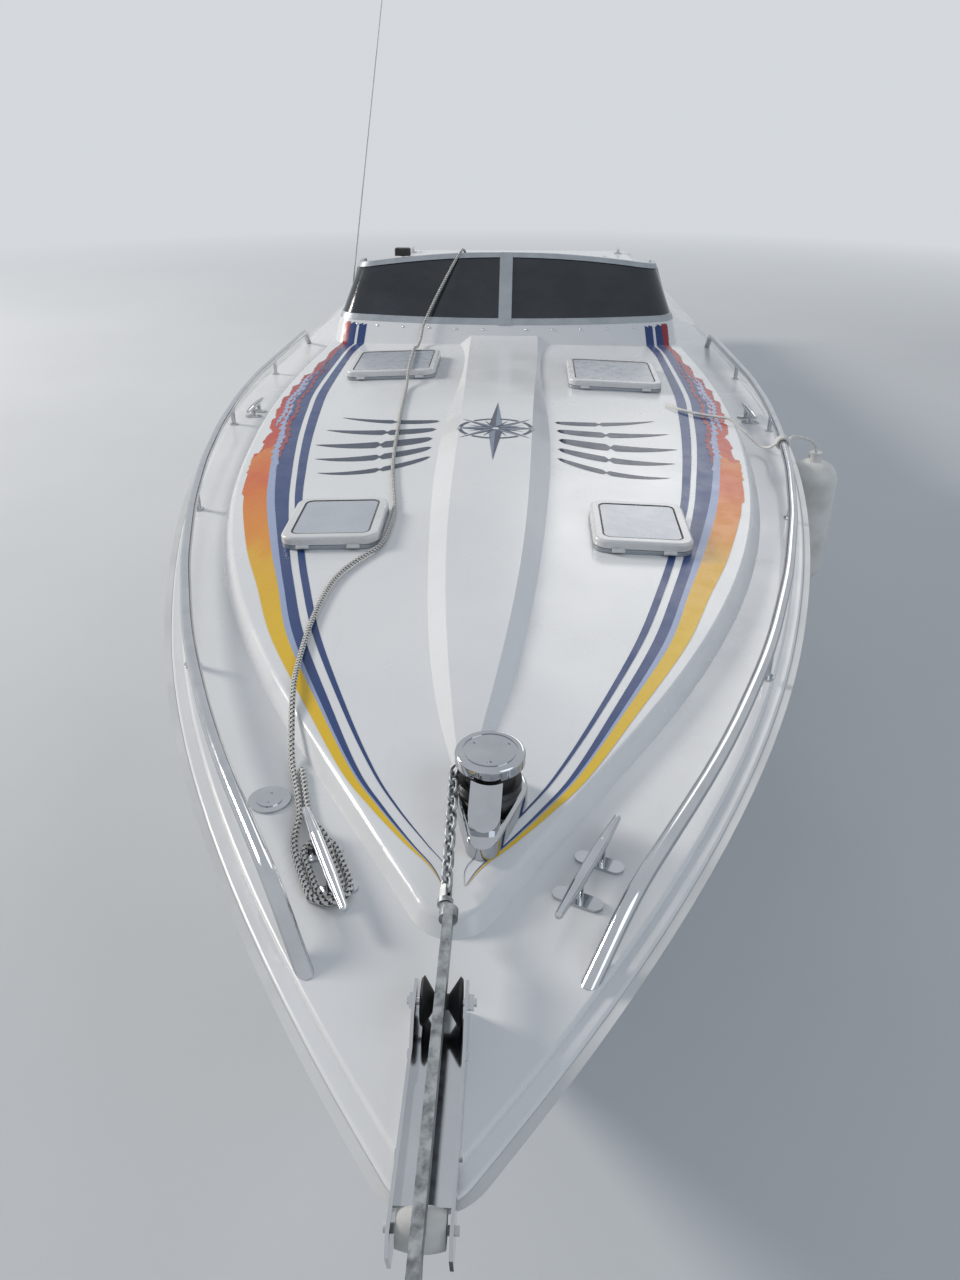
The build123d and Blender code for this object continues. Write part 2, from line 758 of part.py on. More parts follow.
with BuildPart() as bow_roller:
    axle = side_face(ROLLER_X, 0, ROLLER_Z + 0.5)
    with BuildSketch(Plane(origin=axle.origin, x_dir=axle.x_dir, z_dir=axle.y_dir)):
        with BuildLine():
            Line((0, -ROLLER_HALF), (ROLLER_END_RADIUS, -ROLLER_HALF))
            ThreePointArc(
                (ROLLER_END_RADIUS, -ROLLER_HALF),
                (ROLLER_RADIUS, 0),
                (ROLLER_END_RADIUS, ROLLER_HALF),
            )
            Line((ROLLER_END_RADIUS, ROLLER_HALF), (0, ROLLER_HALF))
            Line((0, ROLLER_HALF), (0, -ROLLER_HALF))
        make_face()
    revolve(axis=Axis(axle.origin, axle.z_dir))
    with BuildSketch(axle):
        Circle(AXLE_RADIUS)
    extrude(amount=CHANNEL_HALF + 6, both=True)
save(bow_roller, "bow_roller")

with BuildPart() as shank_roller:
    bolt = side_face(SPOOL[0], 0, SPOOL[1] + 0.5)
    with BuildSketch(Plane(origin=bolt.origin, x_dir=bolt.x_dir, z_dir=bolt.y_dir)):
        with BuildLine():
            Polyline(
                (SPOOL_BORE, -ROLLER_HALF),
                (SPOOL_RADIUS - 4, -ROLLER_HALF),
                (SPOOL_RADIUS, -ROLLER_HALF + 4),
                (SPOOL_GROOVE, -11),
                (SPOOL_GROOVE, 11),
                (SPOOL_RADIUS, ROLLER_HALF - 4),
                (SPOOL_RADIUS - 4, ROLLER_HALF),
                (SPOOL_BORE, ROLLER_HALF),
                close=True,
            )
        make_face()
    revolve(axis=Axis(bolt.origin, bolt.z_dir))
save(shank_roller, "shank_roller")

# Anchor stowed over the roller: swivel, shank and plough
SHANK_AFT = (5566, 67.0)
SHANK_FORWARD = (6104, 55.5)
SHANK_DEPTH = 36.0
SHANK_HALF = 8.0
PLOUGH_HALF = 150.0
FORK_GAP = 4.4
FORK_REACH = 30.0

link_pin = Plane(
    origin=link_plane.from_local_coords(Vector(LINK_PITCH / 3, 0, 0)),
    x_dir=link_plane.x_dir,
    z_dir=link_plane.z_dir,
)
swivel_at = deck_point(SHANK_AFT[0] - 10, 0, SHANK_AFT[1] + SHANK_DEPTH / 2)
swivel_end = Plane(origin=swivel_at, x_dir=(0, 1, 0), z_dir=SHEER.x_dir)

with BuildPart() as anchor:
    with BuildSketch(side_face(0, 0, 0)):
        with BuildLine():
            Polyline(
                SHANK_AFT,
                SHANK_FORWARD,
                (6160, 10),
                (6190, -60),
                (6226, -50),
                (6206, 30),
                (6150, SHANK_FORWARD[1] + SHANK_DEPTH),
                (SHANK_AFT[0], SHANK_AFT[1] + SHANK_DEPTH),
                close=True,
            )
        make_face()
    extrude(amount=SHANK_HALF, both=True)
    for side in (1, -1):
        crest = deck_point(6200, 0, -40)
        tip = deck_point(6010, 0, -330)
        edge = deck_point(6235, side * PLOUGH_HALF, -210)
        fluke = Plane(origin=crest, x_dir=tip - crest, z_dir=(tip - crest).cross(edge - crest))
        corners = [fluke.to_local_coords(v) for v in (crest, tip, edge)]
        with BuildSketch(fluke):
            with BuildLine():
                Polyline(*[(v.X, v.Y) for v in corners], close=True)
            make_face()
        extrude(amount=5, both=True)
    for side in (1, -1):
        with BuildSketch(link_pin.offset(side * FORK_GAP)):
            with Locations((FORK_REACH / 2, 0)):
                SlotOverall(FORK_REACH + 14, 14)
        extrude(amount=side * 4)
    with BuildSketch(link_pin):
        Circle(3.2)
    extrude(amount=FORK_GAP + 1, both=True)
    swivel = Plane(origin=link_pin.from_local_coords(Vector(FORK_REACH - 6, 0, 0)), z_dir=link_pin.x_dir)
    with BuildSketch(swivel):
        Circle(14)
    extrude(amount=10)
    with BuildSketch(swivel.offset(8)):
        Circle(9)
    with BuildSketch(swivel_end):
        Circle(16)
    loft()
    with BuildSketch(swivel_end):
        Circle(16)
    extrude(amount=22)
save(anchor, "anchor")

# Mooring cleats: x, y, turn in degrees, length
CLEATS = (
    (5385, 247, -24.5, 306),
    (5385, -247, 24.5, 306),
    (2220, 1172, 2, 250),
    (2220, -1172, -2, 250),
    (-4150, 1085, 0, 250),
    (-4150, -1085, 0, 250),
)
CLEAT_HEIGHT = 44.0
# Filler caps let into the side decks: x, y, radius
FILLERS = ((5170, -404, 44), (-3000, -1030, 40), (-3000, 1030, 40))

with BuildPart() as deck_fittings:
    for x, y, turn, length in CLEATS:
        seat = deck_plane(x, y, 0.5, turn)
        with BuildSketch(seat):
            with GridLocations(length * 0.36, 0, 2, 1):
                SlotOverall(length * 0.32, 34, rotation=90)
        extrude(amount=6)
        with BuildSketch(seat.offset(5)):
            with GridLocations(length * 0.36, 0, 2, 1):
                Circle(10.5)
        extrude(amount=CLEAT_HEIGHT - 8)
        horn_at = seat.from_local_coords(Vector(0, 0, CLEAT_HEIGHT))
        horn = Plane(origin=horn_at, x_dir=seat.x_dir, z_dir=-seat.y_dir)
        with BuildSketch(horn):
            with BuildLine():
                Polyline(
                    (-length / 2, 0),
                    (-length / 2, 4),
                    (-length / 2 + 5, 7.5),
                    (-length * 0.2, 12),
                    (length * 0.2, 12),
                    (length / 2 - 5, 7.5),
                    (length / 2, 4),
                    (length / 2, 0),
                    close=True,
                )
            make_face()
        revolve(axis=Axis(horn.origin, horn.x_dir))
    for x, y, radius in FILLERS:
        seat = deck_plane(x, y, 0.5)
        with BuildSketch(seat):
            Circle(radius)
        extrude(amount=4)
        with BuildSketch(seat.offset(3)):
            Circle(radius * 0.62)
        extrude(amount=3)
        with BuildSketch(seat.offset(4.5)):
            with GridLocations(radius * 0.7, 0, 2, 1):
                Circle(3.5)
        extrude(amount=5, mode=Mode.SUBTRACT)
save(deck_fittings, "deck_fittings")

# Low bow rails beside the deck edge, between a forward and an aft foot on each side.
# Places along them are shares of the deck outline's length, from the nose.
RAIL_HEIGHT = 85.0
RAIL_TUBE = 16.0
RAIL_INSET = 50.0
RAIL_CURVE = (0.0226, 0.19)
RAIL_RUNS = 8
RAIL_AFT = 0.2369
RAIL_FOOT = (5630, 232)
RAIL_END = (545, 1250)
STANCHIONS = (0.0644, 0.1142, 0.1618, 0.2045)
deck_edge = Wire(outline(*SHEER_PLAN, inset=RAIL_INSET).edges())


def rail_point(share, side):
    """Point of a bow rail's level run."""
    at = deck_edge @ share
    return deck_point(at.X, side * abs(at.Y), RAIL_HEIGHT)


def rail_route(side):
    """Corners of a bow rail's level run."""
    step = (RAIL_CURVE[1] - RAIL_CURVE[0]) / RAIL_RUNS
    shares = [RAIL_CURVE[0] + step * index for index in range(RAIL_RUNS + 1)]
    return [rail_point(share, side) for share in shares + [RAIL_AFT]]


with BuildPart() as bow_rails:
    for side in (1, -1):
        points = [deck_point(RAIL_FOOT[0], side * RAIL_FOOT[1], -12)]
        points += rail_route(side)
        points += [deck_point(RAIL_END[0], side * RAIL_END[1], -12)]
        bends = [250] + [4500] * RAIL_RUNS + [80]
        with BuildLine() as route:
            FilletPolyline(*points, radius=bends)
        with BuildSketch(Plane(origin=route.line @ 0, z_dir=route.line % 0)):
            Circle(RAIL_TUBE)
        sweep(path=route.line)
        for share in STANCHIONS:
            top = SHEER.to_local_coords(rail_point(share, side))
            foot = deck_plane(top.X, top.Y, 0.5)
            with BuildSketch(foot):
                Circle(10)
            extrude(amount=RAIL_HEIGHT - 8)
            with BuildSketch(foot):
                Circle(19)
            extrude(amount=5)
    split(bisect_by=SHEER.offset(0.5), keep=Keep.TOP)
save(bow_rails, "bow_rails")

# Whip aerial on a fold-down mount at the starboard windscreen corner
AERIAL = (430, -1000)
AERIAL_FOOT = 128.0
AERIAL_PIVOT = 166.0
AERIAL_LEAN = 9.9
AERIAL_LENGTH = 2400.0
aerial_pivot = deck_point(AERIAL[0], AERIAL[1], AERIAL_PIVOT)
lean = math.radians(AERIAL_LEAN)
aerial_way = Vector(0, math.sin(lean), math.cos(lean))

with BuildPart() as aerial_mount:
    x, y = AERIAL
    with BuildSketch(deck_plane(x, y, 105)):
        Rectangle(52, 40)
    extrude(amount=45)
    add(cabin_top.part, mode=Mode.SUBTRACT)
    for edge in (-21.5, 21.5):
        with BuildSketch(deck_plane(x + edge, y, 148)):
            Rectangle(8, 34)
        extrude(amount=34)
    with BuildSketch(Plane(origin=aerial_pivot, x_dir=(0, 1, 0), z_dir=(1, 0, 0))):
        Circle(5.5)
    extrude(amount=40, both=True, mode=Mode.SUBTRACT)
save(aerial_mount, "aerial_mount")

with BuildPart() as aerial:
    whip = Plane(origin=aerial_pivot, x_dir=(1, 0, 0), z_dir=aerial_way)
    with BuildSketch(whip.offset(-8)):
        Circle(13)
    extrude(amount=98)
    with BuildSketch(whip.offset(90)):
        Circle(8)
    extrude(amount=60, taper=2)
    with BuildSketch(whip.offset(150)):
        Circle(5)
    with BuildSketch(whip.offset(AERIAL_LENGTH)):
        Circle(2.5)
    loft()
    with BuildSketch(Plane(origin=aerial_pivot, x_dir=(0, 1, 0), z_dir=(1, 0, 0))):
        Circle(5)
    extrude(amount=26, both=True)
save(aerial, "aerial")

# Cockpit well with its bulkhead, and the sliding cabin door
LINER = 20.0
BULKHEAD = 25.0
DOOR_GAP = 6.0
DOOR_THICK = 18.0

liner_block = block_between(
    (COCKPIT_BACK - LINER, -COCKPIT_HALF - LINER, COCKPIT_FLOOR - BULKHEAD),
    (COCKPIT_FRONT + BULKHEAD, COCKPIT_HALF + LINER, 1500),
)
liner_block = under_coaming(liner_block, SKIN)

with BuildPart() as cockpit_liner:
    add(liner_block)
    add(
        block_between(
            (COCKPIT_BACK, -COCKPIT_HALF, COCKPIT_FLOOR), (COCKPIT_FRONT, COCKPIT_HALF, 1600)
        ),
        mode=Mode.SUBTRACT,
    )
    add(
        block_between(
            (COCKPIT_FRONT - 5, DOOR_Y[0], DOOR_Z[0]), (COCKPIT_FRONT + BULKHEAD + 5, DOOR_Y[1], DOOR_Z[1])
        ),
        mode=Mode.SUBTRACT,
    )
save(cockpit_liner, "cockpit_liner")

with BuildPart() as cabin_door:
    door_x = COCKPIT_FRONT + BULKHEAD + DOOR_GAP
    add(
        block_between(
            (door_x, DOOR_Y[0] - 20, DOOR_Z[0] - 20), (door_x + DOOR_THICK, DOOR_Y[1] + 20, DOOR_Z[1] + 20)
        )
    )
    add(
        block_between((door_x - 4, DOOR_Y[1] - 60, 700), (door_x, DOOR_Y[1] - 40, 830)), mode=Mode.SUBTRACT
    )
save(cabin_door, "cabin_door")

# Helm: console, gauges, throttle box and steering wheel
HELM_Y = -420.0
CONSOLE = ((299, 880), (299, 1300), (255, 1312), (190, 1290), (140, 1120), (150, 1000), (230, 880))
GAUGE_FACE = Plane(origin=(165, HELM_Y, 1205), x_dir=(0, -1, 0), z_dir=(-170, 0, 50))
# Gauges on the console's face: offset from its middle, height, radius
GAUGES = ((-250, 0, 40), (-150, 0, 40), (150, 0, 40), (250, 0, 40), (-60, 20, 28), (60, 20, 28))
WHEEL_TILT = 28.0
WHEEL_RADIUS = 170.0
wheel_way = Vector(-math.cos(math.radians(WHEEL_TILT)), 0, math.sin(math.radians(WHEEL_TILT)))
wheel_hub = Vector(146, HELM_Y, 1060) + wheel_way * 95

with BuildPart() as helm_console:
    add(prism(CONSOLE, 340, HELM_Y))
    with BuildSketch(Plane(origin=wheel_hub, z_dir=-wheel_way)):
        Circle(13)
    extrude(amount=130, mode=Mode.SUBTRACT)
save(helm_console, "helm_console")

with BuildPart() as gauges:
    for y, z, radius in GAUGES:
        with BuildSketch(GAUGE_FACE.offset(0.4)):
            with Locations((y, z)):
                Circle(radius)
        extrude(amount=9)
save(gauges, "gauges")

with BuildPart() as throttle:
    add(block_between((-60, -799.5, 900), (60, -765, 1010)))
    for x in (-22, 22):
        with BuildSketch(Plane(origin=(x, -766, 960), x_dir=(1, 0, 0), z_dir=(0, 1, 0))):
            Circle(16)
        extrude(amount=10)
        with BuildSketch(Plane.XY.offset(955)):
            with Locations((x, -752)):
                Rectangle(12, 12)
        extrude(amount=140)
        with BuildSketch(Plane.XY.offset(1090)):
            with Locations((x, -748)):
                Rectangle(22, 26)
        extrude(amount=44)
save(throttle, "throttle")

with BuildPart() as steering_wheel:
    hub_plane = Plane(origin=wheel_hub, x_dir=(0, 1, 0), z_dir=wheel_way)
    rim_at = hub_plane.from_local_coords(Vector(WHEEL_RADIUS, 0, 0))
    with BuildSketch(Plane(origin=rim_at, x_dir=hub_plane.x_dir, z_dir=hub_plane.y_dir)):
        Circle(15)
    revolve(axis=Axis(wheel_hub, wheel_way))
    with BuildSketch(hub_plane.offset(-30)):
        Circle(38)
    extrude(amount=36)
    for angle in (90, 210, 330):
        with BuildSketch(hub_plane.offset(-8)):
            with PolarLocations(WHEEL_RADIUS / 2 + 8, 1, angle):
                Rectangle(WHEEL_RADIUS - 24, 34)
        extrude(amount=10)
    with BuildSketch(hub_plane.offset(-120)):
        Circle(12)
    extrude(amount=95)
save(steering_wheel, "steering_wheel")

# Seats: moulded shells on pedestals, a bench, and their cushions
SEAT_Y = 430.0
SEAT_SHELL = ((-290, 640), (-770, 640), (-805, 1200), (-775, 1200), (-742, 675), (-290, 675))
SEAT_BACK = ((-738, 795), (-640, 795), (-685, 1185), (-764, 1185))
BENCH = ((-2325, 300.5), (-1760, 300.5), (-1740, 600), (-1740, 635), (-2325, 635))
BENCH_BACK = ((-2322, 640), (-2220, 640), (-2230, 1090), (-2322, 1090))

with BuildPart() as seat_bases:
    for side in (1, -1):
        add(prism(SEAT_SHELL, 245, side * SEAT_Y))
        with BuildSketch(Plane.XY.offset(COCKPIT_FLOOR + 0.5)):
            with Locations((-520, side * SEAT_Y)):
                Circle(150)
        extrude(amount=20)
        with BuildSketch(Plane.XY.offset(COCKPIT_FLOOR + 15)):
            with Locations((-520, side * SEAT_Y)):
                Circle(55)
        extrude(amount=325)
    add(prism(BENCH, COCKPIT_HALF - 2))
    add(block_between((-2305, -COCKPIT_HALF + 20, 290), (-1780, COCKPIT_HALF - 20, 615)), mode=Mode.SUBTRACT)
save(seat_bases, "seat_bases")

with BuildPart() as seat_cushions:
    for side in (1, -1):
        with BuildSketch(Plane.XY.offset(676)):
            with Locations((-512, side * SEAT_Y)):
                RectangleRounded(440, 460, 60)
        extrude(amount=112)
        add(prism(SEAT_BACK, 225, side * SEAT_Y))
    with BuildSketch(Plane.XY.offset(636)):
        with Locations((-1985, 0)):
            RectangleRounded(460, 2 * COCKPIT_HALF - 30, 60)
    extrude(amount=110)
    add(prism(BENCH_BACK, COCKPIT_HALF - 15))
save(seat_cushions, "seat_cushions")

# Engine hatch with its sun pad, hinged at the aft edge
LID_MARGIN = 35.0
LID_EDGE = 15.0
LID_LEVEL = ENGINE_RIM + 5.0
LID_THICK = 18.0
SKIRT_LOW = 6.0
ENGINE_MID = (ENGINE_FRONT + ENGINE_BACK) / 2
ENGINE_LONG = ENGINE_FRONT - ENGINE_BACK
HINGE_X = ENGINE_BACK - LID_MARGIN - LID_EDGE - 25.0
HINGE_H = 16.0

with BuildPart() as engine_hatch:
    grow = 2 * (LID_MARGIN + LID_EDGE)
    with BuildSketch(SHEER.offset(LID_LEVEL)):
        with Locations((ENGINE_MID, 0)):
            RectangleRounded(ENGINE_LONG + grow, 2 * ENGINE_HALF + grow, 105)
    extrude(amount=LID_THICK)
    fillet(engine_hatch.edges().group_by(Axis(SHEER.origin, SHEER.z_dir))[-1], 7)
    with BuildSketch(SHEER.offset(SKIRT_LOW)):
        with Locations((ENGINE_MID, 0)):
            RectangleRounded(ENGINE_LONG + grow, 2 * ENGINE_HALF + grow, 105)
            RectangleRounded(
                ENGINE_LONG + 2 * LID_MARGIN,
                2 * (ENGINE_HALF + LID_MARGIN),
                90,
                mode=Mode.SUBTRACT,
            )
    extrude(amount=LID_LEVEL - SKIRT_LOW)
    for y in (-500, 500):
        with BuildSketch(side_face(HINGE_X, y, HINGE_H)):
            Circle(9)
            with Locations((16, 4)):
                Rectangle(30, 8)
        extrude(amount=60, both=True)
save(engine_hatch, "engine_hatch")

# The pad covers the forward part of the hatch and slopes down aft
PAD_BACK = -3450.0
PAD_LOW = LID_LEVEL + LID_THICK + 0.5
PAD_FRONT_HIGH = 135.0
PAD_BACK_HIGH = 72.0
PAD_HALF = ENGINE_HALF - 20.0
pad_front = ENGINE_FRONT - 10.0

with BuildPart() as sun_pad:
    with BuildSketch(SHEER.offset(PAD_LOW)):
        with Locations(((pad_front + PAD_BACK) / 2, 0)):
            RectangleRounded(pad_front - PAD_BACK, 2 * PAD_HALF, 90)
    extrude(amount=PAD_FRONT_HIGH)
    pad_fall = (PAD_BACK_HIGH - PAD_FRONT_HIGH) / (pad_front - PAD_BACK)
    split(
        bisect_by=deck_plane(pad_front, 0, PAD_FRONT_HIGH, 0, pad_fall),
        keep=Keep.BOTTOM,
    )
save(sun_pad, "sun_pad")

# Engines on their beds, one plain block for each
ENGINE_Z = (-170.0, 390.0)
ENGINE_SIZE = (1050.0, 560.0)
BED_Y = (240.0, 620.0)
bed_low = -520 + (SKIN + 10) / math.cos(math.radians(21))

with BuildPart() as engines:
    with BuildSketch(Plane.XY.offset(ENGINE_Z[0])):
        with Locations((-3300, DRIVE_Y), (-3300, -DRIVE_Y)):
            Rectangle(*ENGINE_SIZE)
    extrude(amount=ENGINE_Z[1] - ENGINE_Z[0])
    for side in (1, -1):
        for y in BED_Y:
            inner = bed_low + y * math.tan(math.radians(21))
            outer = bed_low + (y + 60) * math.tan(math.radians(21))
            with BuildSketch(Plane.YZ.offset(-3900)):
                with BuildLine():
                    Polyline(
                        (side * y, inner + 1),
                        (side * (y + 60), outer + 1),
                        (side * (y + 60), ENGINE_Z[0] - 0.5),
                        (side * y, ENGINE_Z[0] - 0.5),
                        close=True,
                    )
                make_face()
            extrude(amount=1200)
save(engines, "engines")

# Swim platform on the transom, and its fold-over ladder
transom_top = SHEER.from_local_coords(Vector(SHEER_PLAN[5], 0, 0))
transom_low = Vector(LOWER_PLAN[5], 0, FLOOR_PLAN_Z)
transom_down = (transom_low - transom_top).normalized()
TRANSOM = Plane(origin=transom_top, x_dir=(0, 1, 0), z_dir=Vector(0, 1, 0).cross(transom_down))
PLATFORM_THICK = 60.0
PLATFORM_BACK = -4900.0
PLATFORM_HALF = 1060.0
LADDER = (-4926.0, 780.0, 422.0)
LADDER_HALF = 140.0
LADDER_REACH = 430.0

with BuildPart() as swim_platform:
    with BuildSketch(Plane.XY.offset(PLATFORM_TOP - PLATFORM_THICK)):
        with Locations(((PLATFORM_BACK - 4000) / 2, 0)):
            RectangleRounded(-4000 - PLATFORM_BACK, 2 * PLATFORM_HALF, 160)
    extrude(amount=PLATFORM_THICK)
    fillet(swim_platform.edges().group_by(Axis.Z)[-1], 12)
    split(bisect_by=TRANSOM.offset(0.3), keep=Keep.TOP)
save(swim_platform, "swim_platform")

with BuildPart() as swim_ladder:
    x, y, z = LADDER
    for side in (1, -1):
        with BuildSketch(Plane.YZ.offset(x - 12)):
            with Locations((y + side * LADDER_HALF, z)):
                Circle(12)
        extrude(amount=LADDER_REACH + 12)
    for step in (120, 270, 410):
        with BuildSketch(Plane.XZ.offset(-y)):
            with Locations((x + step, z)):
                SlotOverall(50, 20)
        extrude(amount=LADDER_HALF, both=True)
    with BuildSketch(Plane.XZ.offset(-y)):
        with Locations((x, z)):
            Circle(9)
    extrude(amount=LADDER_HALF + 34, both=True)
save(swim_ladder, "swim_ladder")

with BuildPart() as platform_fittings:
    x, y, z = LADDER
    for side in (1, -1):
        with BuildSketch(Plane.XZ.offset(-(y + side * (LADDER_HALF + 25)))):
            with BuildLine():
                Polyline(
                    (PLATFORM_BACK + 60, PLATFORM_TOP + 0.5),
                    (PLATFORM_BACK + 60, PLATFORM_TOP + 10),
                    (x + 14, z + 14),
                    (x - 14, z + 14),
                    (x - 14, z - 14),
                    (x + 6, PLATFORM_TOP + 0.5),
                    close=True,
                )
            make_face()
            with Locations((x, z)):
                Circle(9.6, mode=Mode.SUBTRACT)
        extrude(amount=5, both=True)
save(platform_fittings, "platform_fittings")

# Stern drives: transom shields, steering yokes, tilting legs and propellers
SHIELD = (340.0, 440.0, 42.0)
SHIELD_Z = -20.0
FORK_Z = 118.0
FORK_THICK = 16.0
PIN = 14.0
PIN_HOLE = 14.8
YOKE_HALF = 96.0
EAR = 20.0
LEG_HALF = 70.0
TILT_PIN = 15.0
DRIVES = (("port", DRIVE_Y), ("starboard", -DRIVE_Y))
# Side outline of a leg's head about its tilt pivot
LEG_HEAD = ((30, -28), (18, 28), (-60, 34), (-112, 96), (-262, 96), (-296, 40), (-290, -110), (-60, -110))
# Sections of a leg's housing below its head: height, length, width
LEG_SECTIONS = ((-100, 225, 92), (-470, 215, 70), (-700, 205, 62))
SKEG = ((-90, -740), (-300, -740), (-290, -900), (-230, -930), (-190, -900))
PLATE_Z = -500.0
BLADES = 4

with BuildPart() as transom_shields:
    for name, y in DRIVES:
        seat = Plane(
            origin=TRANSOM.origin + transom_down * ((TRANSOM.origin.Z - SHIELD_Z) / -transom_down.Z),
            x_dir=(0, 1, 0),
            z_dir=TRANSOM.z_dir,
        )
        shield_at = Plane(origin=seat.origin + Vector(0, y, 0), x_dir=seat.x_dir, z_dir=seat.z_dir)
        with BuildSketch(shield_at.offset(0.5)):
            RectangleRounded(SHIELD[0], SHIELD[1], 60)
        extrude(amount=SHIELD[2])
        for side in (1, -1):
            level = SHIELD_Z + side * FORK_Z - FORK_THICK / 2
            with BuildSketch(Plane.XY.offset(level)):
                with Locations((STEER_X, y)):
                    Circle(34)
                with Locations((STEER_X + 42, y)):
                    Rectangle(84, 68)
            extrude(amount=FORK_THICK)
        with BuildSketch(Plane.XY.offset(SHIELD_Z - 200)):
            with Locations((STEER_X, y)):
                Circle(PIN_HOLE)
        extrude(amount=400, mode=Mode.SUBTRACT)
    split(bisect_by=TRANSOM.offset(0.4), keep=Keep.TOP)
save(transom_shields, "transom_shields")

for name, y in DRIVES:
    with BuildPart() as yoke:
        with BuildSketch(Plane.XY.offset(SHIELD_Z - FORK_Z + FORK_THICK / 2 + 1.5)):
            with Locations((STEER_X, y)):
                Circle(34)
        extrude(amount=2 * (FORK_Z - FORK_THICK / 2 - 1.5))
        with BuildSketch(Plane.XY.offset(SHIELD_Z - FORK_Z - FORK_THICK)):
            with Locations((STEER_X, y)):
                Circle(PIN)
        extrude(amount=2 * (FORK_Z + FORK_THICK))
        add(block_between((STEER_X - 50, y - YOKE_HALF, -80), (STEER_X - 10, y + YOKE_HALF, 50)))
        for side in (1, -1):
            middle = y + side * (YOKE_HALF - EAR / 2)
            add(
                prism(
                    (
                        (STEER_X - 30, -80),
                        (STEER_X - 30, 50),
                        (TILT_X + 10, TILT_Z + 34),
                        (TILT_X - 30, TILT_Z + 22),
                        (TILT_X - 30, TILT_Z - 22),
                        (TILT_X + 10, TILT_Z - 34),
                    ),
                    EAR / 2,
                    middle,
                )
            )
        with BuildSketch(Plane.XZ.offset(-y)):
            with Locations((TILT_X, TILT_Z)):
                Circle(TILT_PIN + 0.8)
        extrude(amount=130, both=True, mode=Mode.SUBTRACT)
    save(yoke, f"drive_yoke_{name}")

    with BuildPart() as leg:
        head = [(TILT_X + x, TILT_Z + z) for x, z in LEG_HEAD]
        add(prism(head, LEG_HALF, y))
        for level, chord, width in LEG_SECTIONS:
            with BuildSketch(Plane.XY.offset(TILT_Z + level)):
                with Locations((TILT_X - 60 - chord / 2, y)):
                    Ellipse(chord / 2, width / 2)
        loft()
        with BuildSketch(Plane.YZ.offset(TILT_X - 20)):
            with Locations((y, SHAFT_Z)):
                Circle(18)
        with BuildSketch(Plane.YZ.offset(TILT_X - 100)):
            with Locations((y, SHAFT_Z)):
                Circle(50)
        with BuildSketch(Plane.YZ.offset(TILT_X - 330)):
            with Locations((y, SHAFT_Z)):
                Circle(58)
        loft()
        add(prism([(TILT_X + x, TILT_Z + z) for x, z in SKEG], 9, y))
        with BuildSketch(Plane.XY.offset(PLATE_Z)):
            with Locations((TILT_X - 225, y)):
                SlotOverall(430, 200)
        extrude(amount=12)
        with BuildSketch(Plane.XZ.offset(-y)):
            with Locations((TILT_X, TILT_Z)):
                Circle(TILT_PIN)
        extrude(amount=YOKE_HALF, both=True)
        with BuildSketch(Plane.YZ.offset(TILT_X - 480)):
            with Locations((y, SHAFT_Z)):
                Circle(15)
        extrude(amount=160)
    save(leg, f"drive_leg_{name}")

    with BuildPart() as propeller:
        with BuildSketch(Plane.YZ.offset(TILT_X - 336)):
            with Locations((y, SHAFT_Z)):
                Circle(56)
        with BuildSketch(Plane.YZ.offset(TILT_X - 470)):
            with Locations((y, SHAFT_Z)):
                Circle(48)
        loft()
        for index in range(BLADES):
            spin = math.radians(360 / BLADES * index + 20)
            reach = Vector(0, math.cos(spin), math.sin(spin))
            chord = Vector(1, 0, 0).rotate(Axis((0, 0, 0), reach), 58 if name == "port" else -58)
            root = Vector(TILT_X - 400, y, SHAFT_Z)
            blade = Plane(origin=root, x_dir=reach, z_dir=reach.cross(chord))
            with BuildSketch(blade):
                with Locations((PROPELLER_RADIUS * 0.58, 0)):
                    Ellipse(PROPELLER_RADIUS * 0.42, 72)
                with Locations((PROPELLER_RADIUS * 0.3, 0)):
                    Rectangle(60, 80)
            extrude(amount=4, both=True)
        with BuildSketch(Plane.YZ.offset(TILT_X - 500)):
            with Locations((y, SHAFT_Z)):
                Circle(15.6)
        extrude(amount=180, mode=Mode.SUBTRACT)
    save(propeller, f"propeller_{name}")

# Cabin: berth board in the bow
with BuildPart() as berth:
    add(hull_inside & block_between((2700, -1300, 60), (4150, 1300, 90)))
save(berth, "berth")

# Fender hanging at the port side
FENDER = (2700, 1366)
FENDER_TOP = 1140.0
FENDER_LENGTH = 630.0
FENDER_RADIUS = 108.0
FENDER_NECK = 26.0

with BuildPart() as fender:
    x, y = FENDER
    half = FENDER_LENGTH / 2
    with BuildSketch(Plane(origin=(x, y, FENDER_TOP - half), x_dir=(1, 0, 0), z_dir=(0, -1, 0))):
        with BuildLine():
            Line((0, half), (FENDER_NECK, half))
            Line((FENDER_NECK, half), (FENDER_NECK, half - 40))
            ThreePointArc((FENDER_NECK, half - 40), (84, half - 66), (FENDER_RADIUS, half - 130))
            Line((FENDER_RADIUS, half - 130), (FENDER_RADIUS, 130 - half))
            ThreePointArc((FENDER_RADIUS, 130 - half), (84, 66 - half), (FENDER_NECK, 40 - half))
            Line((FENDER_NECK, 40 - half), (FENDER_NECK, -half))
            Line((FENDER_NECK, -half), (0, -half))
            Line((0, -half), (0, half))
        make_face()
    revolve(axis=Axis((x, y, 0), (0, 0, 1)))
    for end in (FENDER_TOP - 18, FENDER_TOP - FENDER_LENGTH + 18):
        with BuildSketch(Plane(origin=(x, y, end), x_dir=(1, 0, 0), z_dir=(0, -1, 0))):
            Circle(9)
        extrude(amount=60, both=True, mode=Mode.SUBTRACT)
save(fender, "fender")

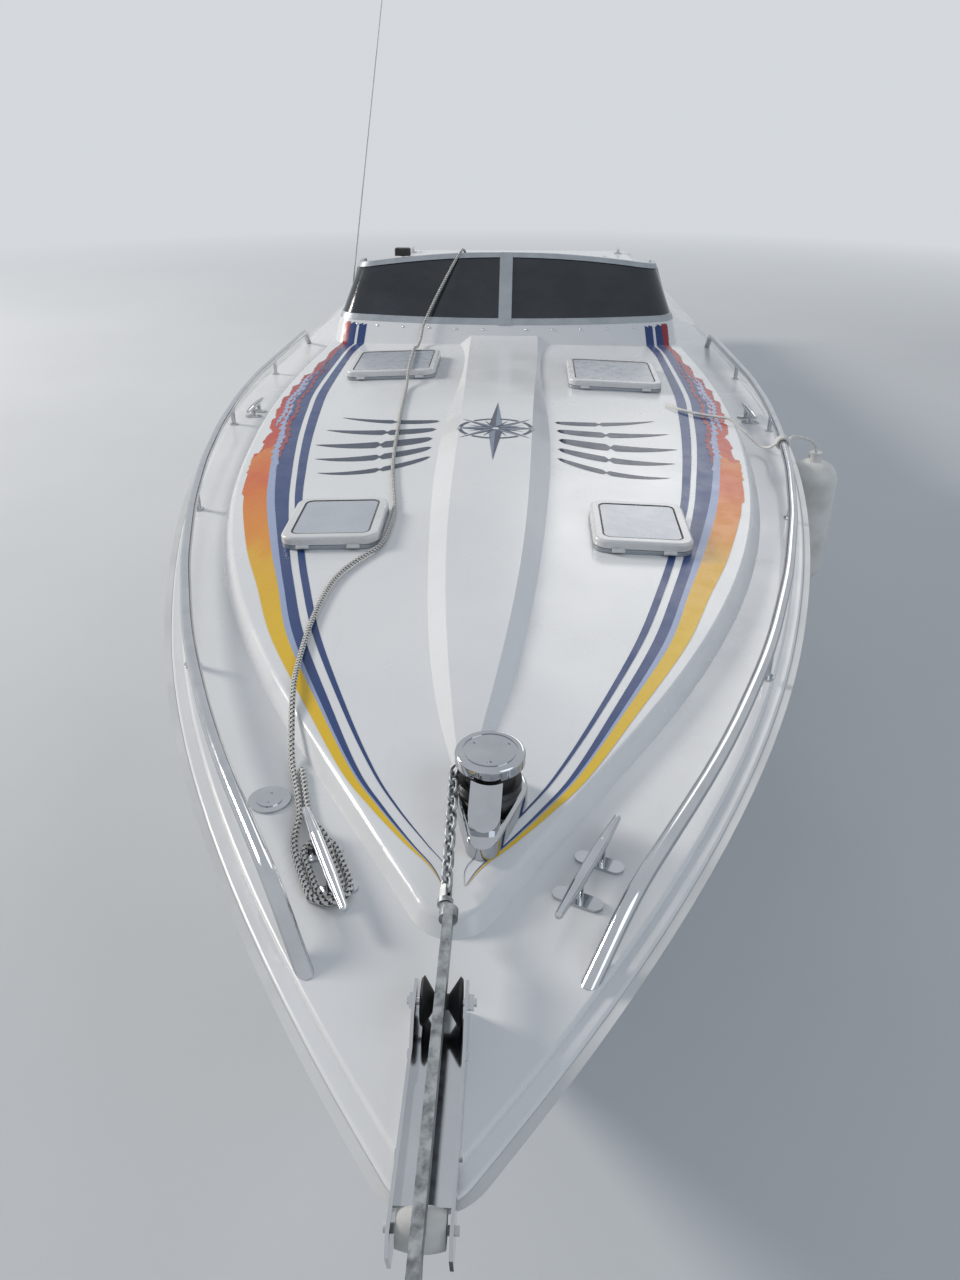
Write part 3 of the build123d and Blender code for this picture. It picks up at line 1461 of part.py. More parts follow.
# Mooring line along the foredeck: from the starboard bow cleat over the windscreen
LINE = 14.0
CLEAT_TURNS = (8.0, 30.0)
LINE_ON_SIDE_DECK = (
    (5316, -279, 19),
    (5240, -325, 13),
    (5150, -350, 10),
    (5050, -384, 12),
    (4938, -404, 46),
    (4830, -424, 66),
)
LINE_ON_TRUNK = (
    (4680, -441, 10),
    (4500, -449, 10),
    (4320, -445, 10),
    (4190, -425, 10),
    (4085, -376, 10),
    (3998, -324, 10),
    (3870, -316, 10),
    (3700, -316, 10),
    (3540, -341, 10),
    (3350, -369, 10),
    (3150, -388, 10),
    (2950, -402, 10),
    (2750, -415, 10),
    (2550, -428, 10),
    (2350, -437, 10),
    (2180, -444, 12),
    (2060, -449, 50),
    (1930, -455, 56),
    (1770, -461, 54),
    (1600, -466, 57),
    (1490, -466, 26),
)
LINE_OVER_SCREEN = (
    (1385, -464, 168),
    (1290, -460, 186),
    (1222, -450, 262),
    (888, -262, 596),
    (822, -240, 585),
    (768, -230, 500),
    (735, -225, 400),
    (704, -221, 312),
    (664, -217, 268),
    (622, -215, 257),
)
LINE_COIL = (520, -215, 244)
LINE_COIL_RADIUS = 110.0


def rope(points, diameter, squeeze=0.45):
    """A tube along straight runs joined by arcs as large as the runs allow."""
    bends = []
    for before, here, after in zip(points, points[1:], points[2:]):
        turn = math.radians((here - before).get_angle(after - here))
        shorter = min((here - before).length, (after - here).length)
        bends.append(squeeze * shorter / math.tan(turn / 2))
    print("smallest bend", round(min(bends)), "of", len(bends), "bends")
    with BuildPart() as tube:
        with BuildLine() as route:
            FilletPolyline(*points, radius=bends)
        with BuildSketch(Plane(origin=route.line @ 0, z_dir=route.line % 0)):
            Circle(diameter / 2)
        sweep(path=route.line)
    length = sum(edge.length for edge in route.edges())
    print("length", round(length), "volume ratio", tube.part.volume / (math.pi * diameter**2 / 4 * length))
    return tube.part


line_points = [deck_point(*row) for row in LINE_ON_SIDE_DECK]
line_points += [deck_point(x, y, trunk_height(x, y) + lift) for x, y, lift in LINE_ON_TRUNK]
line_points += [deck_point(*row) for row in LINE_OVER_SCREEN]

with BuildPart() as bow_line:
    add(rope(line_points, LINE))
save(bow_line, "bow_line")

with BuildPart() as bow_line_turns:
    x, y, turn, length = CLEATS[1]
    seat = deck_plane(x, y, 0.5, turn)
    with BuildSketch(seat.offset(CLEAT_TURNS[0])):
        SlotOverall(length * 0.36 + 60, 60)
        SlotOverall(length * 0.36 + 28, 28, mode=Mode.SUBTRACT)
    extrude(amount=CLEAT_TURNS[1] - CLEAT_TURNS[0])
save(bow_line_turns, "bow_line_turns")

with BuildPart() as bow_line_coil:
    with BuildSketch(deck_plane(*LINE_COIL)):
        Circle(LINE_COIL_RADIUS)
        Circle(LINE_COIL_RADIUS - 42, mode=Mode.SUBTRACT)
    extrude(amount=28)
save(bow_line_coil, "bow_line_coil")

# Fender line: from the fender over the rail, a hitch on the rail, and its tail
FENDER_LINE = 12.0
HITCH_RUN = 5  # the rail's run that it is on
HITCH_SHARE = 0.7
FENDER_LINE_UP = (
    (2700, 1366, -0.4),
    (2703, 1362, 32),
    (2730, 1318, 62),
    (2784, 1252, 90),
    (2826, 1215, 96),
    (2848, 1197, 90),
)
FENDER_LINE_TAIL = (
    (2846, 1156, 80),
    (2803, 1150, 50),
    (2730, 1128, 20),
    (2645, 1086, 46),
    (2575, 1022, 104),
    (2530, 940, 100),
    (2495, 858, 106),
    (2440, 790, 110),
    (2372, 756, 113),
)

with BuildPart() as fender_line:
    add(rope([deck_point(*row) for row in FENDER_LINE_UP], FENDER_LINE))
save(fender_line, "fender_line")

with BuildPart() as fender_tail:
    add(rope([deck_point(*row) for row in FENDER_LINE_TAIL], FENDER_LINE))
save(fender_tail, "fender_tail")

with BuildPart() as fender_hitch:
    before, after = rail_route(1)[HITCH_RUN : HITCH_RUN + 2]
    hitch_at = before + (after - before) * HITCH_SHARE
    with BuildSketch(Plane(origin=hitch_at, z_dir=after - before)):
        Circle(RAIL_TUBE + FENDER_LINE)
        Circle(RAIL_TUBE + 0.9, mode=Mode.SUBTRACT)
    extrude(amount=22, both=True)
save(fender_hitch, "fender_hitch")
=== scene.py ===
import json
import math
from functools import partial

import bpy
import numpy as np
from mathutils import Matrix, Vector
from mathutils.bvhtree import BVHTree


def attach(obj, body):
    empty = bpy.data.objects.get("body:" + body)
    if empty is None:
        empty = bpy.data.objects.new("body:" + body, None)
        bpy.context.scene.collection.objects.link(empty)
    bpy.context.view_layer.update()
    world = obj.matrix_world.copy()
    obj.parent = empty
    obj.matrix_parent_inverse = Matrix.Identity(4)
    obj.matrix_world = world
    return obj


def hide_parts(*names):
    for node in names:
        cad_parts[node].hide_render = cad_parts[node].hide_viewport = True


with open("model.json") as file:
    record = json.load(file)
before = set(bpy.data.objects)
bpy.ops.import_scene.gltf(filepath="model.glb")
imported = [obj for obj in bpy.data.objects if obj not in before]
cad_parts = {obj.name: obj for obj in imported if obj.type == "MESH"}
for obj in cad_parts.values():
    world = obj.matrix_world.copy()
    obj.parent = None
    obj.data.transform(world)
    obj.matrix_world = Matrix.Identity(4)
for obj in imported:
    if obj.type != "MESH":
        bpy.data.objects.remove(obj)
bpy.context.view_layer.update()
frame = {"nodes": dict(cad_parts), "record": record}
nodes = frame["nodes"]
scene = bpy.context.scene

# Deck plane: height over the origin and its slope
SHEER_HEIGHT = 1.085
SHEER_SLOPE = math.radians(1.2)
# Trunk top over the deck plane: height at its forward end, where that is, rise aft, crown's radius
TRUNK_NOSE = 0.030
TRUNK_APEX = 5.540
TRUNK_RISE = math.tan(math.radians(1.7))
CROWN = 14.0


def deck_point(x, y, height):
    """World point at a height above the deck plane, in metres."""
    c, s = math.cos(SHEER_SLOPE), math.sin(SHEER_SLOPE)
    return Vector((x * c - height * s, y, SHEER_HEIGHT + x * s + height * c))


def trunk_height(x, y):
    """Height of the crowned trunk top above the deck plane."""
    return TRUNK_NOSE + (TRUNK_APEX - x) * TRUNK_RISE - y * y / (2 * CROWN)


# Camera: place over the deck plane, pitch and turn, lens and sensor in millimetres, farthest sight
CAMERA_AT = (6.750, 0.104, 1.250)
CAMERA_PITCH = math.radians(28.5)
CAMERA_TURN = math.radians(2.5)
CAMERA_LENS = 18.0
SENSOR_HEIGHT = 24.0
CAMERA_REACH = 400.0


def add_camera():
    """Camera at the photograph's place, over the bow and looking aft."""
    data = bpy.data.cameras.new("camera")
    data.sensor_fit = "VERTICAL"
    data.sensor_height = SENSOR_HEIGHT
    data.lens = CAMERA_LENS
    data.clip_end = CAMERA_REACH
    cam = bpy.data.objects.new("camera", data)
    scene.collection.objects.link(cam)
    c, s = math.cos(CAMERA_PITCH), math.sin(CAMERA_PITCH)
    base = deck_point(0, 0, 0)
    ahead = deck_point(-math.cos(CAMERA_TURN) * c, -math.sin(CAMERA_TURN) * c, -s) - base
    up = deck_point(0, 0, 1) - base
    right = ahead.cross(up).normalized()
    up = right.cross(ahead)
    turn = Matrix((right, up, -ahead)).transposed().to_4x4()
    cam.matrix_world = Matrix.Translation(deck_point(*CAMERA_AT)) @ turn
    scene.camera = cam


add_camera()


# Materials
def node(tree, kind, **values):
    """A shader node with some of its inputs linked or set, or its settings set."""
    made = tree.nodes.new(kind)
    for key, value in values.items():
        socket = key.replace("_", " ")
        if isinstance(value, bpy.types.NodeSocket):
            tree.links.new(value, made.inputs[socket])
        elif socket in made.inputs:
            made.inputs[socket].default_value = value
        else:
            setattr(made, key, value)
    return made


def ramp(tree, factor, stops):
    """A colour ramp over a factor; stops are (place, colour)."""
    made = node(tree, "ShaderNodeValToRGB", Fac=factor)
    while len(made.color_ramp.elements) < len(stops):
        made.color_ramp.elements.new(0.5)
    for element, (place, colour) in zip(made.color_ramp.elements, stops):
        element.position = place
        element.color = (*colour, 1)
    return made.outputs["Color"]


def noise(tree, source, scale, detail=3.0, rough=0.5, stretch=(1, 1, 1)):
    """Noise over a coordinate, stretched along the axes."""
    place = node(tree, "ShaderNodeMapping", Vector=source, Scale=stretch).outputs["Vector"]
    made = node(tree, "ShaderNodeTexNoise", Vector=place, Scale=scale, Detail=detail, Roughness=rough)
    return made.outputs["Fac"]


def remap(tree, factor, low, high, first=0.3, last=0.7):
    """A factor stretched from first..last to low..high."""
    ends = {"From_Min": first, "From_Max": last, "To_Min": low, "To_Max": high}
    return node(tree, "ShaderNodeMapRange", Value=factor, **ends).outputs["Result"]


def bump(tree, height, strength, distance, **under):
    """A bump from a height factor, over another normal where given."""
    made = node(tree, "ShaderNodeBump", Height=height, Strength=strength, Distance=distance, **under)
    return made.outputs["Normal"]


def reckon(tree, operation, first, second, clamp=False):
    """Two factors combined by one operation."""
    made = node(tree, "ShaderNodeMath", operation=operation, use_clamp=clamp)
    tree.links.new(first, made.inputs[0])
    tree.links.new(second, made.inputs[1])
    return made.outputs["Value"]


def cover(tree, factor, under, over, out):
    """Two shaders mixed by a factor into a tree's last node."""
    mix = node(tree, "ShaderNodeMixShader", Fac=factor)
    for socket, made in zip(mix.inputs[1:], (under, over)):
        tree.links.new(made.outputs[0], socket)
    tree.links.new(mix.outputs["Shader"], out.inputs["Surface"])


def feed(tree, shader, colour, rough, normal=None):
    """Links to a main shader's colour, roughness and normal."""
    tree.links.new(colour, shader.inputs["Base Color"])
    tree.links.new(rough, shader.inputs["Roughness"])
    if normal is not None:
        tree.links.new(normal, shader.inputs["Normal"])


MATERIALS = {}


def start(name, metallic=0.0, roughness=0.4, **sockets):
    """A new material under its name, with its tree, its main shader and the object's coordinates."""
    mat = MATERIALS[name] = bpy.data.materials.new(name)
    mat.use_nodes = True
    tree = mat.node_tree
    shader = tree.nodes["Principled BSDF"]
    shader.inputs["Metallic"].default_value = metallic
    shader.inputs["Roughness"].default_value = roughness
    for key, value in sockets.items():
        shader.inputs[key.replace("_", " ")].default_value = value
    place = tree.nodes.new("ShaderNodeTexCoord").outputs["Object"]
    return mat, tree, shader, place


# Grain of plain materials: scale, strength, depth
PLAIN_GRAIN = (60.0, 0.1, 0.0004)
PAINT_GRAIN = (300.0, 0.05, 0.0002)


def plain(name, light, dark, rough=(0.3, 0.45), scale=6.0, grain=PLAIN_GRAIN, metallic=0.0, **sockets):
    """A material with soft colour drift, uneven gloss and fine grain."""
    mat, tree, shader, place = start(name, metallic, rough[0], **sockets)
    colour = ramp(tree, noise(tree, place, scale, 4.0, 0.55), ((0.32, dark), (0.62, light)))
    uneven = remap(tree, noise(tree, place, scale * 4, 3.0), *rough)
    feed(tree, shader, colour, uneven, bump(tree, noise(tree, place, grain[0], 2.0), *grain[1:]))
    return mat


# Top of the bottom paint: where it starts to end and has ended, over the waterline
PAINT_LINE = (0.034, 0.036)
# What grime leaves of each colour
GRIME = (0.80, 0.80, 0.78)


def gelcoat(name, light, dark, below=None):
    """Polished white gelcoat with faint streaks of grime; below is the paint under the waterline."""
    gloss = {"Coat_Weight": 0.12, "Coat_Roughness": 0.1, "Specular_IOR_Level": 0.36}
    mat, tree, shader, place = start(name, 0.0, 0.26, **gloss)
    colour = ramp(tree, noise(tree, place, 1.3, 5.0, 0.6), ((0.3, dark), (0.6, light)))
    mask = remap(tree, noise(tree, place, 9.0, 6.0, 0.7, (0.25, 2.2, 1.0)), 0.0, 0.16, 0.56, 0.78)
    grimy = (*(c * share for c, share in zip(dark, GRIME)), 1)
    mix = node(tree, "ShaderNodeMix", data_type="RGBA", Factor=mask, A=colour, B=grimy)
    if below is not None:
        split = node(tree, "ShaderNodeSeparateXYZ", Vector=place)
        edge = remap(tree, split.outputs["Z"], 0.0, 1.0, *PAINT_LINE)
        out = mix.outputs["Result"]
        mix = node(tree, "ShaderNodeMix", data_type="RGBA", Factor=edge, A=(*below, 1), B=out)
    uneven = remap(tree, noise(tree, place, 5.0, 4.0), 0.16, 0.30)
    wave = bump(tree, noise(tree, place, 5.0, 2.0), 0.05, 0.004)
    peel = bump(tree, noise(tree, place, 380.0, 1.0), 0.03, 0.0002, Normal=wave)
    feed(tree, shader, mix.outputs["Result"], uneven, peel)
    return mat


def metal(name, light, dark, rough, scale=30.0, strength=0.05):
    """Polished or dull metal with fine scratches and patches."""
    mat, tree, shader, place = start(name, 1.0, rough[0])
    colour = ramp(tree, noise(tree, place, scale, 5.0, 0.6), ((0.35, dark), (0.6, light)))
    wear = remap(tree, noise(tree, place, scale * 2, 6.0, 0.65), *rough)
    feed(tree, shader, colour, wear, bump(tree, noise(tree, place, 900.0, 1.0), strength, 0.0001))
    return mat


def glass(name, colour, rough):
    """Dark tinted glazing with a faint haze of dust."""
    gloss = {"Coat_Weight": 0.2, "Coat_Roughness": 0.03, "Specular_IOR_Level": 0.38}
    mat, tree, shader, place = start(name, 0.0, rough, **gloss)
    haze = noise(tree, place, 3.5, 6.0, 0.65, (1, 1, 2.2))
    lighter = tuple(c * 1.6 + 0.012 for c in colour)
    dusty = ramp(tree, haze, ((0.35, colour), (0.75, lighter)))
    feed(tree, shader, dusty, remap(tree, haze, rough, rough + 0.10))
    return mat


def vinyl(name, light, dark):
    """Upholstery vinyl with a pebbled grain and soft creases."""
    mat, tree, shader, place = start(name, 0.0, 0.45, Sheen_Weight=0.08)
    colour = ramp(tree, noise(tree, place, 5.0, 4.0), ((0.35, dark), (0.62, light)))
    cells = node(tree, "ShaderNodeTexVoronoi", Vector=place, Scale=420.0)
    creases = bump(tree, noise(tree, place, 14.0, 5.0, 0.6), 0.25, 0.006)
    pebbles = bump(tree, cells.outputs["Distance"], 0.25, 0.0006, Normal=creases)
    feed(tree, shader, colour, remap(tree, noise(tree, place, 20.0, 3.0), 0.36, 0.5), pebbles)
    return mat


# Brightness that sun-bleached paint fades to
BLEACHED = 0.45


def paint(name, colour, kept=0.85):
    """Gloss paint of one colour, a little sun-bleached in patches; kept is the share of colour left there."""
    faded = tuple(min(1.0, c * kept + (1 - kept) * BLEACHED) for c in colour)
    return plain(name, colour, faded, (0.22, 0.36), 3.0, PAINT_GRAIN, Specular_IOR_Level=0.28)


# Kinds of grain: scale, strength, depth
RUBBER_GRAIN = (160.0, 0.3, 0.0006)
BOARD_GRAIN = (500.0, 0.4, 0.0008)
ROPE_GRAIN = (1500.0, 0.5, 0.0006)

# One material for each slot
gelcoat("hull_gelcoat", (0.80, 0.81, 0.81), (0.73, 0.74, 0.745), (0.018, 0.035, 0.085))
gelcoat("deck_gelcoat", (0.80, 0.81, 0.815), (0.74, 0.75, 0.76))
gelcoat("liner_gelcoat", (0.76, 0.755, 0.73), (0.69, 0.685, 0.66))
metal("stainless", (0.56, 0.575, 0.60), (0.50, 0.515, 0.54), (0.07, 0.13), 7.0)
metal("chrome_plate", (0.53, 0.545, 0.57), (0.46, 0.475, 0.50), (0.04, 0.09), 9.0)
metal("galvanised", (0.40, 0.42, 0.43), (0.17, 0.18, 0.19), (0.35, 0.6), 45.0, 0.2)
metal("propeller_alloy", (0.56, 0.57, 0.58), (0.42, 0.43, 0.44), (0.22, 0.4))
glass("tinted_glass", (0.012, 0.017, 0.024), 0.05)
glass("tinted_acrylic", (0.030, 0.034, 0.040), 0.12)
vinyl("wheel_leather", (0.030, 0.030, 0.031), (0.016, 0.016, 0.017))
vinyl("seat_vinyl", (0.72, 0.69, 0.61), (0.64, 0.61, 0.53))
paint("engine_paint", (0.14, 0.15, 0.17))
paint("drive_paint", (0.020, 0.021, 0.024), 0.97)
plain("rail_vinyl", (0.70, 0.71, 0.71), (0.60, 0.61, 0.61), (0.38, 0.52), 4.0)
plain("frame_alloy", (0.40, 0.43, 0.46), (0.33, 0.36, 0.39), (0.32, 0.46), 9.0, metallic=0.35)
plain("black_plastic", (0.022, 0.022, 0.024), (0.014, 0.014, 0.016), (0.32, 0.5), 12.0)
plain("black_rubber", (0.030, 0.030, 0.031), (0.016, 0.016, 0.017), (0.55, 0.75), 20.0, RUBBER_GRAIN)
plain("aerial_white", (0.74, 0.74, 0.72), (0.64, 0.64, 0.61), (0.3, 0.42), 10.0)
plain(
    "gauge_black", (0.020, 0.020, 0.024), (0.012, 0.012, 0.014), (0.12, 0.25), 12.0,
    Coat_Weight=0.5, Coat_Roughness=0.05,
)
plain("berth_board", (0.46, 0.43, 0.37), (0.36, 0.33, 0.28), (0.75, 0.9), 18.0, BOARD_GRAIN)
plain("fender_vinyl", (0.74, 0.74, 0.72), (0.58, 0.58, 0.55), (0.34, 0.5), 7.0)
plain(
    "lid_frame", (0.74, 0.745, 0.745), (0.66, 0.665, 0.665), (0.24, 0.36), 6.0,
    Coat_Weight=0.2, Coat_Roughness=0.12,
)
plain(
    "hatch_acrylic", (0.50, 0.53, 0.58), (0.44, 0.47, 0.52), (0.22, 0.34), 5.0,
    Coat_Weight=0.2, Coat_Roughness=0.1,
)
plain("roller_nylon", (0.72, 0.72, 0.70), (0.60, 0.60, 0.57), (0.4, 0.55), 30.0)
plain("rope", (0.78, 0.77, 0.73), (0.66, 0.65, 0.61), (0.75, 0.9), 60.0, ROPE_GRAIN)

FLECK = plain("rope_fleck", (0.030, 0.032, 0.040), (0.014, 0.015, 0.020), (0.75, 0.9), 60.0)
SLOTS = {row["node"]: row["material_slot"] for row in frame["record"]["subparts"]}
for name, obj in nodes.items():
    obj.data.materials.clear()
    obj.data.materials.append(MATERIALS[SLOTS[name]])


# Helpers for pieces
def add_mesh(name, verts, faces, mat, body, smooth=True, slot_name=None):
    """A mesh object in the row frame that rides on a body."""
    mesh = bpy.data.meshes.new(name)
    mesh.from_pydata([tuple(v) for v in verts], [], faces)
    mesh.materials.append(mat)
    mesh.update()
    if smooth:
        mesh.polygons.foreach_set("use_smooth", [True] * len(mesh.polygons))
    obj = bpy.data.objects.new(name, mesh)
    scene.collection.objects.link(obj)
    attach(obj, body)
    return obj


def ring_faces(rings, around):
    """Faces between rings of points that follow one another."""
    faces = []
    for here in range(0, (rings - 1) * around, around):
        there = here + around
        for k in range(around):
            n = (k + 1) % around
            faces.append((here + k, here + n, there + n, there + k))
    return faces


def joined(parts):
    """Several sets of points and faces as one."""
    verts, faces = [], []
    for some, quads in parts:
        base = len(verts)
        verts += some
        faces += [tuple(base + i for i in quad) for quad in quads]
    return verts, faces


def surface_tree(*names):
    """A search tree over the faces of some nodes."""
    verts, faces = [], []
    for name in names:
        mesh = nodes[name].data
        base = len(verts)
        verts += [v.co.copy() for v in mesh.vertices]
        faces += [[base + i for i in p.vertices] for p in mesh.polygons]
    return BVHTree.FromPolygons(verts, faces)


DECK = surface_tree("deck", "cabin_top")
# Height that points drop from
ABOVE = 3.0


def drop(x, y, tree=DECK):
    """The top surface of the deck, or of another tree, under a point: place and normal."""
    place, normal, _, _ = tree.ray_cast(Vector((x, y, ABOVE)), Vector((0, 0, -1)))
    return place, normal


# Lift of paint over its surface, the least upright part of a normal that patches and stripes lie on,
# and the top of the stripes over the deck plane
PAINT_LIFT = 0.0009
PATCH_FLAT = 0.3
STRIPE_FLAT = 0.2
STRIPES_END = 0.236


def laid(left, right, columns, tree, lift, flat, end=None):
    """Points laid on a surface between two rows of x, y points, and the quads whose points all lie there.

    flat is the least upright part of a normal that they lie on, and end its top over the deck plane."""
    verts, quads, good = [], [], []
    for a, b in zip(left, right):
        for k in range(columns + 1):
            x, y = (a[i] + (b[i] - a[i]) * k / columns for i in range(2))
            place, normal = drop(x, y, tree)
            lies = place is not None and normal.z > flat
            if lies and end is not None:
                lies = place.z < deck_point(place.x, y, end).z
            good.append(lies)
            verts.append(place + normal * lift if lies else Vector((x, y, 0)))
    wide = columns + 1
    for r in range(len(left) - 1):
        for k in range(columns):
            quad = (r * wide + k, r * wide + k + 1, (r + 1) * wide + k + 1, (r + 1) * wide + k)
            if all(good[i] for i in quad):
                quads.append(quad)
    return verts, quads


def used_only(verts, faces):
    """The points that faces use, and the faces renumbered to them."""
    used = sorted({i for face in faces for i in face})
    place = {old: new for new, old in enumerate(used)}
    return [verts[i] for i in used], [tuple(place[i] for i in face) for face in faces]


def patch(name, mat, left, right, columns=3, tree=DECK, body="boat", lift=PAINT_LIFT):
    """A painted shape laid on a surface between two rows of x, y points."""
    verts, quads = laid(left, right, columns, tree, lift, PATCH_FLAT)
    faces = []
    for quad in quads:
        a, b, c = (verts[i] for i in quad[:3])
        faces.append(quad if (b - a).cross(c - b).z > 0 else quad[::-1])
    add_mesh(name, *used_only(verts, faces), mat, body)


def smooth_row(table, steps):
    """A finer table by smooth curves through its rows."""
    rows = [np.array(r, float) for r in table]
    rows = [2 * rows[0] - rows[1]] + rows + [2 * rows[-1] - rows[-2]]
    out = []
    for a, b, c, d in zip(rows, rows[1:], rows[2:], rows[3:]):
        for k in range(steps):
            t = k / steps
            bend, twist = 2 * a - 5 * b + 4 * c - d, 3 * b - a - 3 * c + d
            out.append(0.5 * (2 * b + (c - a) * t + bend * t * t + twist * t**3))
    out.append(rows[-2])
    return out


def stripe(name, mat, rows, side, columns=4, lift=PAINT_LIFT):
    """A painted band on the deck between two rows of edges: rows are x, inner y, outer y."""
    left = [(x, side * inner) for x, inner, _ in rows]
    right = [(x, side * outer) for x, _, outer in rows]
    verts, quads = laid(left, right, columns, DECK, lift, STRIPE_FLAT, STRIPES_END)
    faces = quads if side < 0 else [quad[::-1] for quad in quads]
    add_mesh(name, *used_only(verts, faces), mat, "boat")


# Painted stripes: x, then the borders across: thin navy in and out, white out, navy out, pale out, colour out
STRIPES = (
    (5.440, 0.0180, 0.0184, 0.0200, 0.0206, 0.0210, 0.0215),
    (5.390, 0.0200, 0.0212, 0.0440, 0.0462, 0.0475, 0.0510),
    (5.330, 0.0600, 0.0625, 0.0880, 0.0920, 0.0945, 0.1040),
    (5.230, 0.1250, 0.1300, 0.1540, 0.1620, 0.1655, 0.1820),
    (5.110, 0.1900, 0.1970, 0.2240, 0.2360, 0.2410, 0.2630),
    (4.890, 0.2830, 0.2950, 0.3180, 0.3380, 0.3460, 0.3760),
    (4.545, 0.4120, 0.4310, 0.4550, 0.4840, 0.5010, 0.5450),
    (4.245, 0.5010, 0.5230, 0.5460, 0.5770, 0.5940, 0.6560),
    (3.975, 0.5720, 0.5950, 0.6190, 0.6540, 0.6780, 0.7560),
    (3.585, 0.6580, 0.6850, 0.7060, 0.7560, 0.7850, 0.8700),
    (3.275, 0.7080, 0.7400, 0.7610, 0.8220, 0.8480, 0.9330),
    (3.050, 0.7400, 0.7750, 0.7970, 0.8600, 0.8850, 0.9620),
    (2.805, 0.7690, 0.8080, 0.8310, 0.8940, 0.9150, 0.9820),
    (2.490, 0.7990, 0.8420, 0.8640, 0.9260, 0.9440, 1.0100),
    (2.150, 0.8210, 0.8650, 0.8880, 0.9420, 0.9560, 1.0250),
    (1.530, 0.8220, 0.8600, 0.8800, 0.9220, 0.9300, 0.9980),
    (1.330, 0.8080, 0.8540, 0.8700, 0.9160, 0.9200, 0.9720),
    (1.236, 0.7950, 0.8400, 0.8560, 0.9000, 0.9050, 0.9500),
    (1.150, 0.7850, 0.8310, 0.8460, 0.8880, 0.8930, 0.9360),
    (1.060, 0.7740, 0.8200, 0.8340, 0.8740, 0.8790, 0.9200),
    (0.960, 0.7600, 0.8060, 0.8190, 0.8570, 0.8620, 0.9010),
)
NAVY = paint("stripe_navy", (0.024, 0.056, 0.185), 0.97)
PALE = paint("stripe_pale", (0.34, 0.41, 0.60), 0.96)
CRIMSON = paint("stripe_crimson", (0.30, 0.030, 0.045), 0.95)


# Colours along the bright band, between its aft and its forward end, and how far they shift to and fro
BAND_ENDS = (1.2, 5.5)
BAND_SHIFT = 0.14
BAND_COLOURS = (
    (0.00, (0.30, 0.030, 0.040)),
    (0.20, (0.36, 0.028, 0.030)),
    (0.33, (0.50, 0.045, 0.025)),
    (0.425, (0.56, 0.075, 0.022)),
    (0.435, (0.70, 0.220, 0.030)),
    (0.50, (0.66, 0.120, 0.020)),
    (0.55, (0.72, 0.210, 0.022)),
    (0.63, (0.75, 0.300, 0.025)),
    (0.66, (0.76, 0.420, 0.030)),
    (0.76, (0.78, 0.500, 0.030)),
    (1.00, (0.80, 0.540, 0.040)),
)


def sunset():
    """The bright band: yellow at the bow, then orange, then red, in abrupt steps with streaks."""
    mat, tree, shader, place = start("stripe_sunset", 0.0, 0.28, Specular_IOR_Level=0.28)
    split = node(tree, "ShaderNodeSeparateXYZ", Vector=place)
    wobble = noise(tree, place, 5.0, 5.0, 0.7, (0.5, 2.4, 1.0))
    shift = remap(tree, wobble, -BAND_SHIFT, BAND_SHIFT, 0.25, 0.75)
    total = reckon(tree, "ADD", split.outputs["X"], shift)
    along = remap(tree, total, 0.0, 1.0, *BAND_ENDS)
    gloss = remap(tree, noise(tree, place, 20.0, 4.0), 0.2, 0.34)
    feed(tree, shader, ramp(tree, along, BAND_COLOURS), gloss)
    return mat


SUNSET = sunset()
# Ragged outer edge of the bright band: x, and the share of its width that is painted
RAGGED = (
    (3.62, 1.00), (3.52, 0.97), (3.50, 1.07), (3.38, 1.02), (3.30, 0.98),
    (3.28, 1.06), (3.06, 1.05), (3.05, 0.80), (2.94, 0.72), (2.92, 0.92),
    (2.80, 0.74), (2.78, 0.56), (2.72, 0.88), (2.60, 0.98), (2.58, 0.80),
    (2.44, 1.02), (2.40, 0.84), (2.25, 1.05), (2.22, 0.72), (2.06, 0.98),
    (2.02, 0.66), (1.86, 0.90), (1.82, 0.52), (1.62, 0.72), (1.56, 0.40),
    (1.40, 0.60), (1.24, 0.66), (1.10, 0.90), (0.97, 0.92),
)


def border(x, table, column):
    """The border's place across at a point along."""
    xs = [row[0] for row in table][::-1]
    ys = [row[column] for row in table][::-1]
    return float(np.interp(x, xs, ys))


# Torn streaks over the bands aft: name, material, forward and aft ends, the border beside which they
# run, how far their middle lies outboard of it, half width, length of a tooth, lift
TORN = (
    ("pale", PALE, 3.30, 1.72, 4, 0.010, 0.016, 0.105, 0.0014),
    ("crimson", CRIMSON, 3.16, 1.60, 4, -0.010, 0.012, 0.083, 0.0018),
    ("lilac", PALE, 2.72, 1.78, 5, 0.022, 0.011, 0.067, 0.0018),
    ("navy", NAVY, 2.66, 1.50, 4, 0.004, 0.010, 0.131, 0.0022),
)
# Small teeth along the bright band's edge: length and how much it varies and how fast, height as a
# share of the band, forward end
TOOTH = 0.028
TOOTH_VARIES, TOOTH_RATE = 0.6, 9.0
TOOTH_HIGH = 0.10
TEETH_FORWARD = 3.30
TORN_STEP = 0.006
# Share of a tooth's length on its long side, and how streaks taper and waver
TOOTH_LEAN = 0.82
TAPER_FORWARD, TAPER_AFT = 0.12, 0.2
WAVER, WAVER_RATE = 0.006, 17.0
# A streak's inner and outer edge: share of its half width that is always there, share that comes and
# goes with the teeth, length of a tooth as a share, its shift along
TORN_EDGES = ((0.35, 0.95, 1.0, 0.4), (0.30, 1.10, 0.73, 0.0))
# Aft ends: of the pale band, of the even part of the bright band
PALE_END = 1.9
EVEN_END = 3.63


